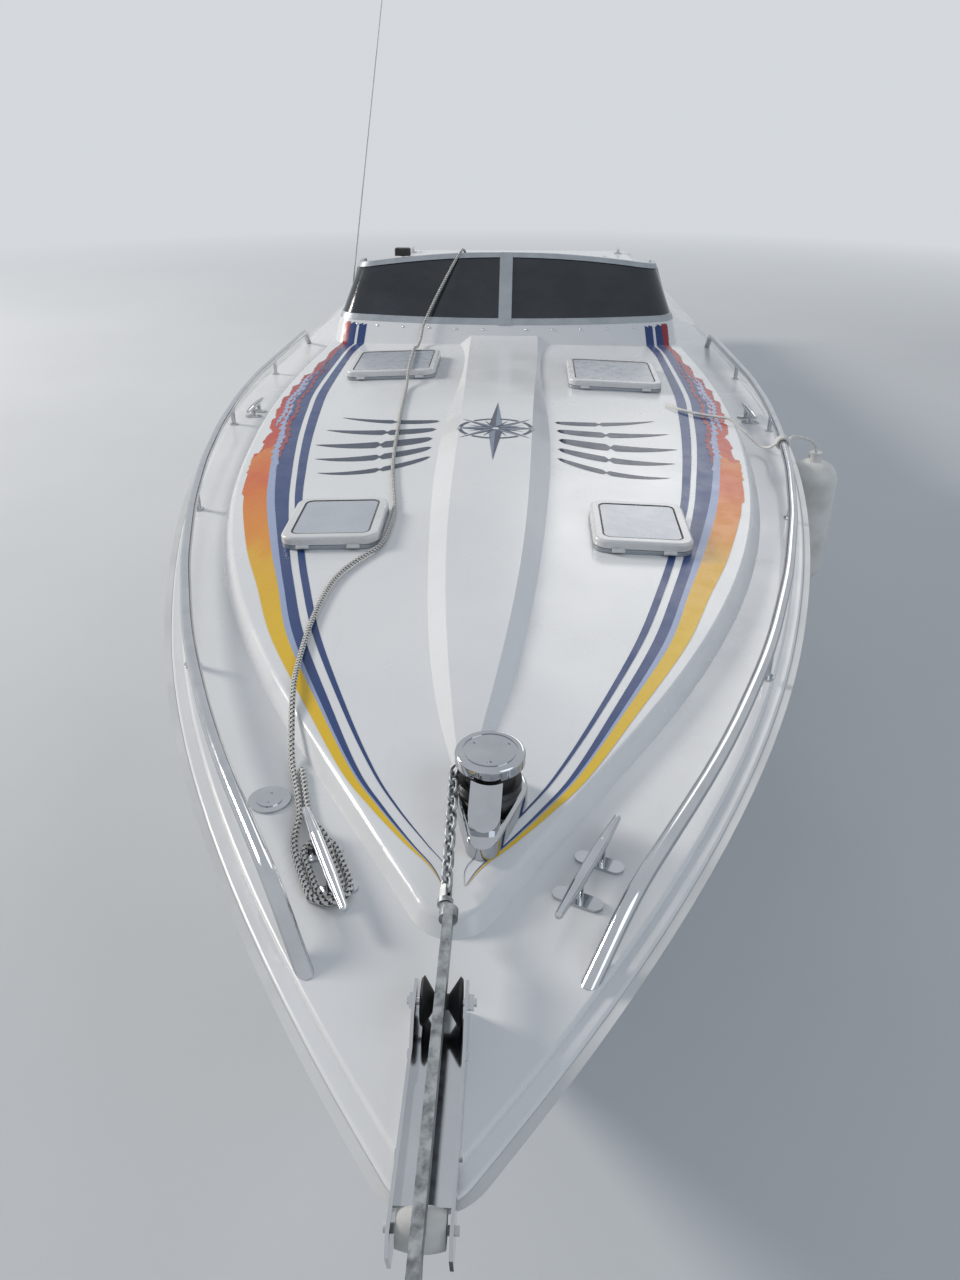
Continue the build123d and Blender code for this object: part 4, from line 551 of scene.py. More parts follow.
def tooth(x, length, shift=0.0):
    """A sawtooth from 0 to 1 along a torn edge, steeper on its forward side."""
    place = (x / length + shift) % 1.0
    return place / TOOTH_LEAN if place < TOOTH_LEAN else (1.0 - place) / (1.0 - TOOTH_LEAN)


def torn(x, forward, aft, length, half):
    """How far a streak's two edges lie from its middle: it tapers at both ends."""
    share = (forward - x) / (forward - aft)
    taper = min(1.0, share / TAPER_FORWARD, (1.0 - share) / TAPER_AFT)
    return [
        half * taper * (least + more * tooth(x, length * part, shift))
        for least, more, part, shift in TORN_EDGES
    ]


fine = [tuple(r) for r in smooth_row(STRIPES, 10)]
for side, word in ((1, "port"), (-1, "starboard")):
    stripe(f"stripe_thin_{word}", NAVY, [(r[0], r[1], r[2]) for r in fine], side, 2)
    stripe(f"stripe_navy_{word}", NAVY, [(r[0], r[3], r[4]) for r in fine], side, 3)
    stripe(f"stripe_pale_{word}", PALE, [(r[0], r[4], r[5]) for r in fine if r[0] > PALE_END], side, 2)
    colour = [(r[0], r[5], r[6]) for r in fine if r[0] > EVEN_END]
    for (x1, s1), (x2, s2) in zip(RAGGED, RAGGED[1:]):
        count = max(1, round((x1 - x2) / TORN_STEP))
        for k in range(count):
            x = x1 + (x2 - x1) * k / count
            share = s1 + (s2 - s1) * k / count
            if x < TEETH_FORWARD:
                size = TOOTH * (1.0 + TOOTH_VARIES * math.sin(x * TOOTH_RATE) ** 2)
                share -= TOOTH_HIGH * tooth(x, size)
            inner = border(x, fine, 5 if x > PALE_END else 4)
            colour.append((x, inner, inner + (border(x, fine, 6) - inner) * share))
    stripe(f"stripe_bright_{word}", SUNSET, colour, side, 4)
    for kind, mat, forward, aft, column, out, half, length, lift in TORN:
        rows = []
        for k in range(round((forward - aft) / TORN_STEP) + 1):
            x = forward - k * TORN_STEP
            low, high = torn(x, forward, aft, length, half)
            middle = border(x, fine, column) + out + WAVER * math.sin(x * WAVER_RATE)
            rows.append((x, middle - low, middle + high))
        stripe(f"streak_{kind}_{word}", mat, rows, side, 2, lift)


# Ropes: corners of their routes, as deck points or as points over the trunk, in metres
def smooth_line(name, corners, spacing):
    """Points an even distance apart along the smooth line of a route."""
    curve = bpy.data.curves.new(name, "CURVE")
    curve.dimensions = "3D"
    curve.resolution_u = 12
    spline = curve.splines.new("NURBS")
    spline.points.add(len(corners) - 1)
    for point, place in zip(spline.points, corners):
        point.co = (*place, 1)
    spline.order_u = 3
    spline.use_endpoint_u = True
    holder = bpy.data.objects.new(name, curve)
    scene.collection.objects.link(holder)
    mesh = bpy.data.meshes.new_from_object(holder)
    line = np.array([v.co[:] for v in mesh.vertices])
    bpy.data.objects.remove(holder)
    bpy.data.curves.remove(curve)
    bpy.data.meshes.remove(mesh)
    along = np.concatenate(([0], np.cumsum(np.linalg.norm(np.diff(line, axis=0), axis=1))))
    places = np.linspace(0, along[-1], int(along[-1] / spacing) + 1)
    return np.stack([np.interp(places, along, line[:, k]) for k in range(3)], axis=1), along[-1]


def frames_along(line):
    """Two directions across a line at each of its points, without twist."""
    way = np.gradient(line, axis=0)
    way /= np.linalg.norm(way, axis=1)[:, None]
    side = np.cross(way[0], (0, 0, 1.0) if abs(way[0][2]) < 0.9 else (1.0, 0, 0))
    sides = []
    for w in way:
        side = side - w * np.dot(side, w)
        side /= np.linalg.norm(side)
        sides.append(side)
    sides = np.array(sides)
    return sides, np.cross(way, sides)


def tube(line, radius, around=10):
    """Points and faces of a closed tube round a line; radius may be a list."""
    sides, ups = frames_along(line)
    radius = np.broadcast_to(radius, len(line))
    turns = np.linspace(0, 2 * math.pi, around, endpoint=False)
    verts = []
    for place, a, b, r in zip(line, sides, ups, radius):
        for turn in turns:
            verts.append(place + (a * math.cos(turn) + b * math.sin(turn)) * r)
    faces = ring_faces(len(line), around)
    faces.append(tuple(range(around))[::-1])
    faces.append(tuple(range((len(line) - 1) * around, len(line) * around)))
    return verts, faces


# Braid: cells round a rope, length of a cell as a share of the diameter, and its swell and shrink
BRAID_AROUND = 24
BRAID_STEP = 0.25
BRAID_HIGH = 0.035
BRAID_SINK = 0.02
# Width of the first two rings at each sealed end, as shares of the rope's
END_TAPER = (0.55, 0.9)


def rope(name, corners, diameter, replaced, flecks):
    """A braided rope along its route, with its ends heat-sealed."""
    line, length = smooth_line(name, corners, diameter * BRAID_STEP)
    end = np.ones(len(line))
    end[[0, -1]], end[[1, -2]] = END_TAPER
    verts, faces = tube(line, end * diameter / 2, BRAID_AROUND)
    for ring in range(1, len(line) - 1):
        for k in range(BRAID_AROUND):
            i = ring * BRAID_AROUND + k
            grow = BRAID_HIGH * (1 if (ring + k) % 2 else -1) - BRAID_SINK
            verts[i] = verts[i] + (verts[i] - line[ring]) * grow
    obj = add_mesh(name, verts, faces, MATERIALS["rope"], "boat", True, "rope")
    if flecks:
        obj.data.materials.append(FLECK)
        for i in range((len(line) - 1) * BRAID_AROUND):
            ring, k = divmod(i, BRAID_AROUND)
            strand = (k // 2 + 2 * (ring // 2)) % 4
            if strand == 0 or strand == 1 and ring % 2:
                obj.data.polygons[i].material_index = 1
    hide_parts(*replaced)


# Turns round the starboard bow cleat, in its own directions: along, across, height
CLEAT = (5.385, -0.247, math.radians(24.5))
TURNS_ON_CLEAT = (
    (-335, 31, 8), (-275, 23, 8), (-215, 14, 8), (-160, 7, 9), (-125, 10, 18),
    (-95, 16, 28), (-66, 21, 28), (-43, 20, 20), (-18, 18.8, 14), (18, 18.8, 14),
    (55, 18.8, 14), (72, 12, 14), (79, -4, 14), (72, -21, 14), (55, -29, 14),
    (18, -29, 14), (-18, -29, 14), (-55, -29, 14), (-72, -21, 14), (-80, -3, 14),
    (-80, 18, 14), (-62, 33, 14), (-20, 33.9, 14), (20, 33.9, 14), (55, 33.9, 14),
    (83, 23, 14), (94, -4, 14), (83, -32, 14), (55, -44, 14), (18, -44, 14),
    (-18, -44, 14), (-55, -44, 14), (-95, -38, 14), (-130, -27, 13),
)
LINE_ON_SIDE_DECK = (
    (5240, -325, 13), (5150, -350, 10), (5050, -384, 12),
    (4938, -404, 46), (4830, -424, 66),
)
LINE_ON_TRUNK = (
    (4680, -441, 10), (4500, -449, 10), (4320, -445, 10), (4190, -425, 10), (4085, -376, 10),
    (3998, -324, 10), (3870, -316, 10), (3700, -316, 10), (3540, -341, 10), (3350, -369, 10),
    (3150, -388, 10), (2950, -402, 10), (2750, -415, 10), (2550, -428, 10), (2350, -437, 10),
    (2180, -444, 12), (2060, -449, 50), (1930, -455, 56), (1770, -461, 54), (1600, -466, 57),
    (1490, -466, 26),
)
LINE_OVER_SCREEN = (
    (1385, -464, 168), (1290, -460, 186), (1222, -450, 262), (888, -262, 596), (822, -240, 585),
    (768, -230, 500), (735, -225, 400), (704, -221, 312), (664, -215, 272), (640, -204, 268),
    (624, -184, 266),
)
LINE_DIAMETER = 0.014
# Coil inside the windscreen: centre, levels of its two layers, radii of its turns, turns in a layer,
# where the first starts in degrees, points in a turn, points left out where the layers change, and
# how much a smooth line cuts its corners
COIL_AT = (520, -215)
COIL_LEVELS = (266, 252)
COIL_RADII = (103, 75)
COIL_TURNS = 2
COIL_START = 36
COIL_POINTS = 14
COIL_SKIP = 3
COIL_PULL = 0.975


def mm(points):
    """Deck points in metres from rows in millimetres."""
    return [deck_point(*(v / 1000 for v in row)) for row in points]


def cleat_points():
    """The cleat's turns as deck points."""
    x, y, turn = CLEAT
    c, s = math.cos(turn), math.sin(turn)
    out = []
    for along, across, height in TURNS_ON_CLEAT:
        u, v, h = along / 1000, across / 1000, height / 1000
        out.append(deck_point(x + u * c - v * s, y + u * s + v * c, h))
    return out


def trunk_points(rows):
    """Points a little over the trunk top."""
    out = []
    for x, y, lift in rows:
        x, y = x / 1000, y / 1000
        out.append(deck_point(x, y, trunk_height(x, y) + lift / 1000))
    return out


def coil_points():
    """Turns of the coil: inwards on the upper layer, and outwards below it."""
    steps = COIL_TURNS * COIL_POINTS
    rows = []
    for layer, level in enumerate(COIL_LEVELS):
        for k in range(steps + 1):
            if layer and k < COIL_SKIP:
                continue
            share = k / steps
            first, last = COIL_RADII if layer == 0 else COIL_RADII[::-1]
            radius = (first + (last - first) * share) / COIL_PULL
            turn = math.radians(COIL_START) + 2 * math.pi * (k + layer * steps) / COIL_POINTS
            x, y = radius * math.cos(turn), radius * math.sin(turn)
            rows.append((COIL_AT[0] + x, COIL_AT[1] + y, level))
    return mm(rows)


on_deck = cleat_points() + mm(LINE_ON_SIDE_DECK) + trunk_points(LINE_ON_TRUNK)
on_screen = mm(LINE_OVER_SCREEN) + coil_points()
rope("bow_rope", on_deck + on_screen, LINE_DIAMETER, ("bow_line", "bow_line_turns", "bow_line_coil"), True)

# Fender line: up to the rail, turns round it, and its tail over the side deck and trunk
FENDER_LINE_UP = (
    (2700, 1366, -0.4), (2703, 1362, 32), (2730, 1318, 62),
    (2784, 1252, 90), (2822, 1216, 98),
)
FENDER_LINE_TAIL = (
    (2842, 1139, 66), (2803, 1146, 48), (2730, 1128, 20), (2645, 1086, 46), (2575, 1022, 104),
    (2530, 940, 100), (2495, 858, 106), (2440, 790, 110), (2372, 756, 113),
)
FENDER_LINE_DIAMETER = 0.012
# Turns round the rail: middle, the rail's way, radius, pitch, start along it, number
HITCH_AT = (2861.2, 1174.3, 85)
HITCH_WAY = (0.988, -0.153)
HITCH_RADIUS = 24.0
HITCH_PITCH = 14.5
HITCH_START = -17.0
HITCH_TURNS = 2.5


def hitch_points():
    """Turns round the bow rail, from outboard over its top and forward along it."""
    count = round(HITCH_TURNS * COIL_POINTS)
    rows = []
    for k in range(count + 1):
        turn = 2 * math.pi * k / COIL_POINTS
        along = HITCH_START + HITCH_PITCH * k / COIL_POINTS
        out, up = math.cos(turn) * HITCH_RADIUS, math.sin(turn) * HITCH_RADIUS
        x = HITCH_AT[0] + HITCH_WAY[0] * along - HITCH_WAY[1] * out
        y = HITCH_AT[1] + HITCH_WAY[1] * along + HITCH_WAY[0] * out
        rows.append((x, y, HITCH_AT[2] + up))
    return mm(rows)


rope(
    "fender_rope",
    mm(FENDER_LINE_UP) + hitch_points() + mm(FENDER_LINE_TAIL),
    FENDER_LINE_DIAMETER,
    ("fender_line", "fender_hitch", "fender_tail"),
    False,
)


# Cushions: radius of the piping and its sides, size and least number of cells, how far the sides
# pull in between the corners, how much the corners round off, how steeply the face rises beside the
# seam and the underside sinks there, and the crown's share of the rise
PIPING = 0.0045
PIPING_SIDES = 8
CELL = 0.011
LEAST_CELLS = 24
PULL = 0.012
CORNER = 0.05
CORNER_POWER = 8
SEAM_POWER = 6
FACE_POWER = 0.3
UNDER_POWER = 0.6
CROWN_SHARE = 0.12
# Sewn channels: depth, the most of the crown that they take, width
CHANNEL_DEPTH = 0.009
CHANNEL_SHARE = 0.2
CHANNEL_WIDE = 0.011


def eased(count):
    """Places from -1 to 1, closer together at both ends."""
    return [math.sin(math.pi / 2 * (2 * k / count - 1)) for k in range(count + 1)]


def piping(ring, middle, up):
    """Points and faces of a closed cord round the seam of a pad."""
    verts, faces = [], []
    for place in ring:
        out = place - middle
        out = out - up * np.dot(out, up)
        out /= np.linalg.norm(out)
        for k in range(PIPING_SIDES):
            turn = 2 * math.pi * k / PIPING_SIDES
            verts.append(Vector(place + (out * math.cos(turn) + up * math.sin(turn)) * PIPING))
    for r in range(len(ring)):
        here, there = (i % len(ring) * PIPING_SIDES for i in (r, r + 1))
        for k in range(PIPING_SIDES):
            m = (k + 1) % PIPING_SIDES
            faces.append((here + k, there + k, there + m, here + m))
    return verts, faces


def cushion(name, node_name, body, origin, long, wide, half, rise, fall, channels, fill=0.7):
    """A crowned pad with piping round its seam and sewn channels across its face.

    long and wide are its directions, half its half sizes along them, rise the height of its crown at
    both ends of long, fall its depth under the seam, and channels their places across both."""
    long, wide = Vector(long).normalized(), Vector(wide).normalized()
    up = long.cross(wide)
    origin = Vector(origin)
    rows = [max(LEAST_CELLS, int(size / CELL)) for size in half]
    places = [eased(n) for n in rows]

    def at(a, b, height):
        off = CORNER * (abs(a) * abs(b)) ** CORNER_POWER
        x = half[0] * a * (1 - PULL / half[0] * (1 - b * b) - off)
        y = half[1] * b * (1 - PULL / half[1] * (1 - a * a) - off)
        return origin + long * x + wide * y + up * height, x, y

    def face(a, b, side):
        shape = ((1 - abs(a) ** SEAM_POWER) * (1 - abs(b) ** SEAM_POWER)) ** FACE_POWER
        if side < 0:
            return -fall * shape**UNDER_POWER
        high = rise[0] + (rise[1] - rise[0]) * (a + 1) / 2
        crown = 1 - CROWN_SHARE + CROWN_SHARE * (1 - a * a) * (1 - b * b)
        height = high * shape * crown
        deep = min(CHANNEL_DEPTH, high * CHANNEL_SHARE)
        for value, cuts in zip(at(a, b, 0)[1:], channels):
            for cut in cuts:
                height -= deep * math.exp(-(((value - cut) / CHANNEL_WIDE) ** 2)) * shape
        return height

    def spot(side, i, j):
        return (0 if i in (0, rows[0]) or j in (0, rows[1]) else side, i, j)

    verts, faces = [], []
    index = {}
    for side in (1, -1):
        for i, a in enumerate(places[0]):
            for j, b in enumerate(places[1]):
                key = spot(side, i, j)
                if key not in index:
                    index[key] = len(verts)
                    verts.append(at(a, b, face(a, b, side) if key[0] else 0)[0])
        for i in range(rows[0]):
            for j in range(rows[1]):
                quad = [index[spot(side, i + m, j + n)] for m, n in ((0, 0), (1, 0), (1, 1), (0, 1))]
                faces.append(tuple(quad[::side]))
    edge = [(a, -1) for a in places[0]] + [(1, b) for b in places[1][1:]]
    edge += [(a, 1) for a in places[0][::-1][1:]] + [(-1, b) for b in places[1][::-1][1:-1]]
    ring = np.array([at(a, b, 0)[0][:] for a, b in edge])
    cord = piping(ring, np.array(origin[:]), np.array(up[:]))
    verts, faces = joined(((verts, faces), cord))
    obj = add_mesh(name, verts, faces, MATERIALS["seat_vinyl"], body, True, "seat_vinyl")
    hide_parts(node_name)


SEAT_Y = 0.430
SEAT_CHANNELS = ((-0.09, 0.03), (-0.14, 0.14))
BENCH_CHANNELS = ((-0.07, 0.08), (-0.39, 0, 0.39))
SUN_CHANNELS = ((-0.14, 0.14), (-0.41, 0, 0.41))
ALONG_DECK = (math.cos(SHEER_SLOPE), 0, math.sin(SHEER_SLOPE))
FORWARD, PORT, STARBOARD, UPWARD = (1, 0, 0), (0, 1, 0), (0, -1, 0), (0, 0, 1)
BACK_LEAN = (-45, 0, 390)
# Wide cushions: name, node, body, middle of the seam, two ways along it, half sizes, rise, fall,
# channels, fill
CUSHIONS = (
    (
        "bench_pad", "seat_cushions", "boat", (-1.985, 0, 0.688), FORWARD, PORT,
        (0.222, 0.777), (0.054, 0.056), 0.048, BENCH_CHANNELS, 0.7,
    ),
    (
        "bench_back", "seat_cushions", "boat", (-2.271, 0, 0.865), UPWARD, STARBOARD,
        (0.217, 0.777), (0.047, 0.045), 0.046, BENCH_CHANNELS, 0.7,
    ),
    (
        "sunbathing_pad", "sun_pad", "engine_lid", deck_point(-3.030, 0, 0.0535), ALONG_DECK, PORT,
        (0.411, 0.811), (0.018, 0.080), 0.018, SUN_CHANNELS, 0.8,
    ),
)
for word, y in (("port", SEAT_Y), ("starboard", -SEAT_Y)):
    cushion(
        f"seat_pad_{word}", "seat_cushions", "boat", (-0.512, y, 0.724), FORWARD, PORT,
        (0.212, 0.222), (0.058, 0.062), 0.045, SEAT_CHANNELS,
    )
    cushion(
        f"seat_back_{word}", "seat_cushions", "boat", (-0.708, y, 0.990), BACK_LEAN, STARBOARD,
        (0.188, 0.217), (0.046, 0.038), 0.038, SEAT_CHANNELS,
    )
for row in CUSHIONS:
    cushion(*row)


# Painted ornament on the foredeck: a compass star in a broken ring, with swept bars on both sides
INK = paint("ornament_ink", (0.050, 0.066, 0.105), 0.97)
INK_PALE = paint("ornament_pale", (0.20, 0.245, 0.33), 0.97)
STAR_AT = (2.92, 0.0)
STAR_WIDEN = 1.15
STAR_GAP = 0.010
# For long, middle and short points: reach, share of the waist, turn of the waist in degrees
STAR_REACH = (0.38, 0.175, 0.110)
STAR_SLIM = (1.0, 0.8, 0.6)
STAR_SPREAD = (22.5, 17.0, 9.0)
STAR_SIDE_REACH = 0.142
STAR_WAIST = 0.060
STAR_STEPS = 26
RING_RADII = (0.119, 0.133)
RING_GAP = 6


def polar(radius, turn):
    """A point of the ornament at a turn from the bow, in degrees; it is wider across than along."""
    a = math.radians(turn)
    return (STAR_AT[0] + radius * math.cos(a), STAR_AT[1] + STAR_WIDEN * radius * math.sin(a))


def between(points, count):
    """Points evenly along a path of straight runs."""
    rows = np.array(points, float)
    along = np.concatenate(([0], np.cumsum(np.linalg.norm(np.diff(rows, axis=0), axis=1))))
    places = np.linspace(0, along[-1], count)
    return np.stack([np.interp(places, along, rows[:, k]) for k in range(2)], axis=1)


def add_star():
    """Sixteen points in three lengths: the short ones dark, the others half dark and half pale."""
    for k in range(16):
        turn = 22.5 * k
        kind = 2 if k % 2 else 1 if k % 4 else 0
        reach = STAR_SIDE_REACH if k in (4, 12) else STAR_REACH[kind]
        waist, spread = STAR_WAIST * STAR_SLIM[kind], STAR_SPREAD[kind]
        root, tip = polar(STAR_GAP, turn), polar(reach, turn)
        for side, word, mat in ((1, "dark", INK), (-1, "pale", INK_PALE)):
            if side < 0 and k % 2:
                continue
            inner = between((root, polar(waist, turn - spread), tip) if k % 2 else (root, tip), STAR_STEPS)
            outer = between((root, polar(waist, turn + side * spread), tip), STAR_STEPS)
            patch(f"star_{k}_{word}", mat, inner, outer)


def add_ring():
    """A broken ring behind the star's points."""
    for k in range(8):
        turns = np.linspace(45 * k + RING_GAP, 45 * (k + 1) - RING_GAP, 14)
        inner, outer = ([polar(radius, v) for v in turns] for radius in RING_RADII)
        patch(f"star_ring_{k}", INK, inner, outer, 2)


# Swept bars: start and end across, start and end along, greatest half width, bow of the curve
BARS = (
    (0.245, 0.66, 3.15, 3.31, 0.038, 0.070),
    (0.250, 0.70, 3.04, 3.15, 0.050, 0.060),
    (0.255, 0.73, 2.93, 2.98, 0.060, 0.050),
    (0.250, 0.72, 2.81, 2.79, 0.050, 0.045),
    (0.245, 0.68, 2.70, 2.62, 0.038, 0.040),
)
# Steps along a bar, how it swells and tapers, and the notch across it: start, end, share that is left
BAR_STEPS = 30
BAR_SWELL, BAR_TAPER, BAR_FULL = 0.35, 0.8, 1.35
NOTCH = (0.40, 0.44, 0.25)


def add_bars():
    """Tapered bars that sweep out and forward from the star."""
    for side, word in ((1, "port"), (-1, "starboard")):
        for k, (y0, y1, x0, x1, half, bow) in enumerate(BARS):
            low, high = [], []
            for step in range(BAR_STEPS + 1):
                t = step / BAR_STEPS
                y = y0 + (y1 - y0) * t
                x = x0 + (x1 - x0) * t + bow * 4 * t * (1 - t)
                wide = half * (t**BAR_SWELL) * (1 - t) ** BAR_TAPER * BAR_FULL
                if NOTCH[0] < t < NOTCH[1]:
                    wide *= NOTCH[2]
                low.append((x - wide, side * y))
                high.append((x + wide, side * y))
            patch(f"bar_{word}_{k}", INK, low, high)


add_star()
add_ring()
add_bars()


# Small fittings: press studs under the windscreen, and gaskets round the hatch panes

# Foot of the windscreen: its foremost place and the radius of its bow
SCREEN_FRONT = 1.222
SCREEN_BOW = 2.900
# Studs: places across, how far they stand before the windscreen's foot, radius, height
STUD_Y = (0.12, 0.27, 0.42, 0.57, 0.72, 0.84)
STUD_OUT = 0.022
STUD_RADIUS = 0.0075
STUD_HIGH = 0.004


def screen_front(y):
    """Place along the boat of the windscreen's bowed foot."""
    return SCREEN_FRONT - (SCREEN_BOW - math.sqrt(SCREEN_BOW * SCREEN_BOW - y * y))


def dome(place, normal, radius, high):
    """Points and faces of a low dome standing on a surface."""
    rings, around = 4, 14
    side = Vector((0, 1, 0)).cross(normal).normalized()
    other = normal.cross(side)
    verts = []
    for r in range(rings):
        a = math.pi / 2 * r / rings
        for k in range(around):
            turn = 2 * math.pi * k / around
            flat = side * math.cos(turn) + other * math.sin(turn)
            verts.append(place + flat * radius * math.cos(a) + normal * high * math.sin(a))
    verts.append(place + normal * high)
    faces = ring_faces(rings, around)
    for k in range(around):
        faces.append(((rings - 1) * around + k, (rings - 1) * around + (k + 1) % around, rings * around))
    faces.append(tuple(range(around))[::-1])
    return verts, faces


studs = []
for y in STUD_Y:
    for side in (1, -1):
        place, normal = drop(screen_front(y) + STUD_OUT, side * y)
        studs.append(dome(place, normal, STUD_RADIUS, STUD_HIGH))
add_mesh("cover_studs", *joined(studs), MATERIALS["stainless"], "boat", True, "stainless")

# Hatches: name, middle, length, width and the body of the lid
HATCHES = (
    ("forward_port", 3.835, 0.490, 0.335, 0.310, "lid_forward_port"),
    ("forward_starboard", 3.835, -0.490, 0.335, 0.310, "lid_forward_starboard"),
    ("aft_port", 1.960, 0.545, 0.430, 0.440, "lid_aft_port"),
    ("aft_starboard", 1.800, -0.545, 0.430, 0.440, "boat"),
)
# Window of a hatch: margin round it, corner radius, height over the trunk top. Gasket: width inwards
# and outwards, and lift over the pane
WINDOW_MARGIN = 0.030
WINDOW_CORNER = 0.026
WINDOW_OVER = 0.04
GASKET = 0.0045
GASKET_OVER = 0.001
GASKET_LIFT = 0.0006


def rounded(x, y, half_x, half_y, radius):
    """Points round a rounded rectangle, ending where they start."""
    out = []
    count = 9
    for sx, sy, first in ((1, 1, 0), (-1, 1, 90), (-1, -1, 180), (1, -1, 270)):
        for k in range(count):
            turn = math.radians(first + 90 * k / (count - 1))
            across = x + sx * (half_x - radius) + radius * math.cos(turn)
            out.append((across, y + sy * (half_y - radius) + radius * math.sin(turn)))
    return out + out[:1]


for name, x, y, length, width, body in HATCHES:
    lid = surface_tree(f"hatch_lid_{name}", f"hatch_pane_{name}")
    middle = deck_point(x, y, trunk_height(x, y) + WINDOW_OVER)
    half_x, half_y = length / 2 - WINDOW_MARGIN, width / 2 - WINDOW_MARGIN
    inner, outer = (
        rounded(middle.x, middle.y, half_x + grow, half_y + grow, WINDOW_CORNER + grow)
        for grow in (-GASKET, GASKET_OVER)
    )
    patch(f"hatch_gasket_{name}", MATERIALS["black_rubber"], inner, outer, 1, lid, body, GASKET_LIFT)


# Dials on the dash: its face and the way that it looks, places across and up it and radii, how far
# the faces of the dials stand proud, marks in a dial and half their sweep in degrees
DIAL_FACE = (0.165, -0.420, 1.205)
DIAL_WAY = (-170, 0, 50)
DIALS = (
    (-0.250, 0, 0.040), (-0.150, 0, 0.040), (0.150, 0, 0.040),
    (0.250, 0, 0.040), (-0.060, 0.020, 0.028), (0.060, 0.020, 0.028),
)
DIAL_FRONT = 0.0098
DIAL_MARKS = 11
DIAL_SWEEP = 120.0
# Bezel: inset and radius. Marks, long and short: start as a share of the radius, half width in degrees
BEZEL = (0.002, 0.0018)
BEZEL_POINTS = 36
LONG_MARK = (0.72, 2.4)
SHORT_MARK = (0.80, 1.4)
MARK_END = 0.90
MARK_LIFT = 0.0004
# Needle: shares of the radius at its root and tip, lift, and how much farther each next one has turned
NEEDLE = (0.16, 0.78)
NEEDLE_LIFT = 0.001
NEEDLE_TURN = 9
DIAL_WHITE = plain("dial_white", (0.62, 0.62, 0.60), (0.56, 0.56, 0.54), (0.4, 0.5), 40.0)
DIAL_RED = paint("dial_needle", (0.60, 0.10, 0.03))


def dial_point(middle, axes, reach, turn, lift):
    """A point on a dial at a turn from upright, in degrees."""
    side, up, out = axes
    a = math.radians(turn)
    return middle + side * reach * math.sin(a) + up * reach * math.cos(a) + out * lift


def add_dials():
    """A bezel, marks and a needle on the face of each gauge."""
    out = Vector(DIAL_WAY).normalized()
    side = Vector((0, 1, 0))
    up = side.cross(out)
    bezels, marks, needles = [], [], []
    for n, (across, high, radius) in enumerate(DIALS):
        middle = Vector(DIAL_FACE) + side * across + up * high + out * DIAL_FRONT
        at = partial(dial_point, middle, (side, up, out))
        turns = np.linspace(0, 360, BEZEL_POINTS + 1)
        ring = np.array([at(radius - BEZEL[0], turn, 0)[:] for turn in turns])
        bezels.append(tube(ring, BEZEL[1], 8))
        for k in range(DIAL_MARKS):
            turn = DIAL_SWEEP * (2 * k / (DIAL_MARKS - 1) - 1)
            first, wide = SHORT_MARK if k % 5 else LONG_MARK
            corners = ((first, -wide), (MARK_END, -wide), (MARK_END, wide), (first, wide))
            marks.append(([at(radius * r, turn + w, MARK_LIFT) for r, w in corners], [(0, 1, 2, 3)]))
        turn = -DIAL_SWEEP + NEEDLE_TURN * n
        corners = ((NEEDLE[0], turn - 90), (NEEDLE[1], turn), (NEEDLE[0], turn + 90))
        needles.append(([at(radius * r, w, NEEDLE_LIFT) for r, w in corners], [(0, 1, 2)]))
    add_mesh("dial_bezels", *joined(bezels), MATERIALS["chrome_plate"], "boat", True, "chrome_plate")
    add_mesh("dial_marks", *joined(marks), DIAL_WHITE, "boat", False)
    add_mesh("dial_needles", *joined(needles), DIAL_RED, "boat", False)


add_dials()


# Floor, background and light: the floor fades into the background between two distances
FLOOR_HALF = 120.0
FLOOR_FADE = (6.5, 15.0)
BACKGROUND = (0.66, 0.69, 0.72)


def seen_rays(tree):
    """A factor of 1 on rays from the camera, from mirrors and through glass."""
    path = tree.nodes.new("ShaderNodeLightPath")
    total = path.outputs["Is Camera Ray"]
    for word in ("Is Glossy Ray", "Is Transmission Ray"):
        total = reckon(tree, "ADD", total, path.outputs[word], True)
    return total


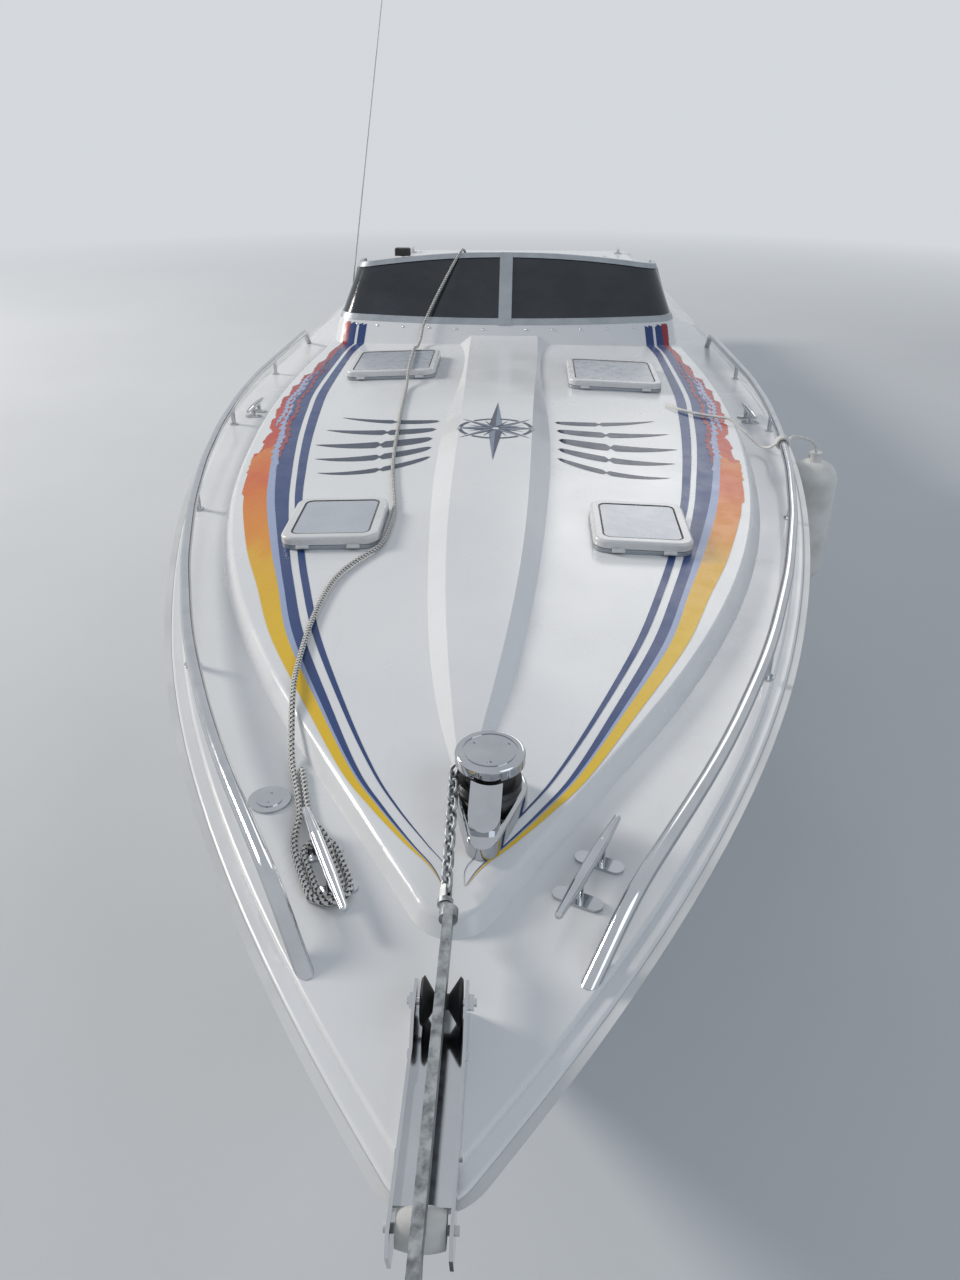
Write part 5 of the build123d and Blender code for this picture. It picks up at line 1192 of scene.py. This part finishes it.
def add_floor():
    """A wide plain floor that turns into the background's colour far from the boat."""
    mesh = bpy.data.meshes.new("floor")
    r = FLOOR_HALF
    mesh.from_pydata([(-r, -r, 0), (r, -r, 0), (r, r, 0), (-r, r, 0)], [], [(0, 1, 2, 3)])
    obj = bpy.data.objects.new("floor", mesh)
    scene.collection.objects.link(obj)
    mat, tree, shader, place = start("floor_paint", 0.0, 0.8)
    tint = ramp(tree, noise(tree, place, 0.5, 3.0), ((0.3, (0.58, 0.60, 0.62)), (0.7, (0.61, 0.63, 0.65))))
    tree.links.new(tint, shader.inputs["Base Color"])
    length = node(tree, "ShaderNodeVectorMath", operation="LENGTH")
    tree.links.new(place, length.inputs[0])
    far = remap(tree, length.outputs["Value"], 0.0, 1.0, *FLOOR_FADE)
    glow = node(tree, "ShaderNodeEmission", Color=(*BACKGROUND, 1), Strength=1.0)
    both = reckon(tree, "MULTIPLY", far, seen_rays(tree))
    cover(tree, both, shader, glow, tree.nodes["Material Output"])
    mesh.materials.append(mat)


add_floor()


# Light of the sky, and where the lamps look
SKY = (0.82, 0.89, 1.0)
SKY_STRENGTH = 0.40
LAMPS_AIM = (2.0, 0, 0.8)
# Lamps: name, place, size, power, colour
LAMPS = (
    ("key", (-2.5, -16.5, 9.7), 5.6, 2650.0, (1.0, 0.95, 0.88)),
    ("fill", (9.0, 7.0, 8.0), 7.0, 190.0, (0.90, 0.95, 1.0)),
    ("back", (-9.0, 3.0, 8.0), 6.0, 160.0, (1.0, 0.98, 0.95)),
)


def add_light():
    """A pale sky and three large soft lamps."""
    world = bpy.data.worlds.new("studio")
    scene.world = world
    world.use_nodes = True
    tree = world.node_tree
    tree.nodes.clear()
    out = tree.nodes.new("ShaderNodeOutputWorld")
    sky = node(tree, "ShaderNodeBackground", Color=(*SKY, 1), Strength=SKY_STRENGTH)
    seen = node(tree, "ShaderNodeBackground", Color=(*BACKGROUND, 1), Strength=1.0)
    cover(tree, seen_rays(tree), sky, seen, out)
    for name, place, size, power, colour in LAMPS:
        data = bpy.data.lights.new(name, "AREA")
        data.shape = "DISK"
        data.size = size
        data.energy = power
        data.color = colour
        lamp = bpy.data.objects.new(name, data)
        scene.collection.objects.link(lamp)
        lamp.location = place
        aim = Vector(LAMPS_AIM) - Vector(place)
        lamp.rotation_euler = aim.to_track_quat("-Z", "Y").to_euler()


add_light()
scene.view_settings.view_transform = "Standard"
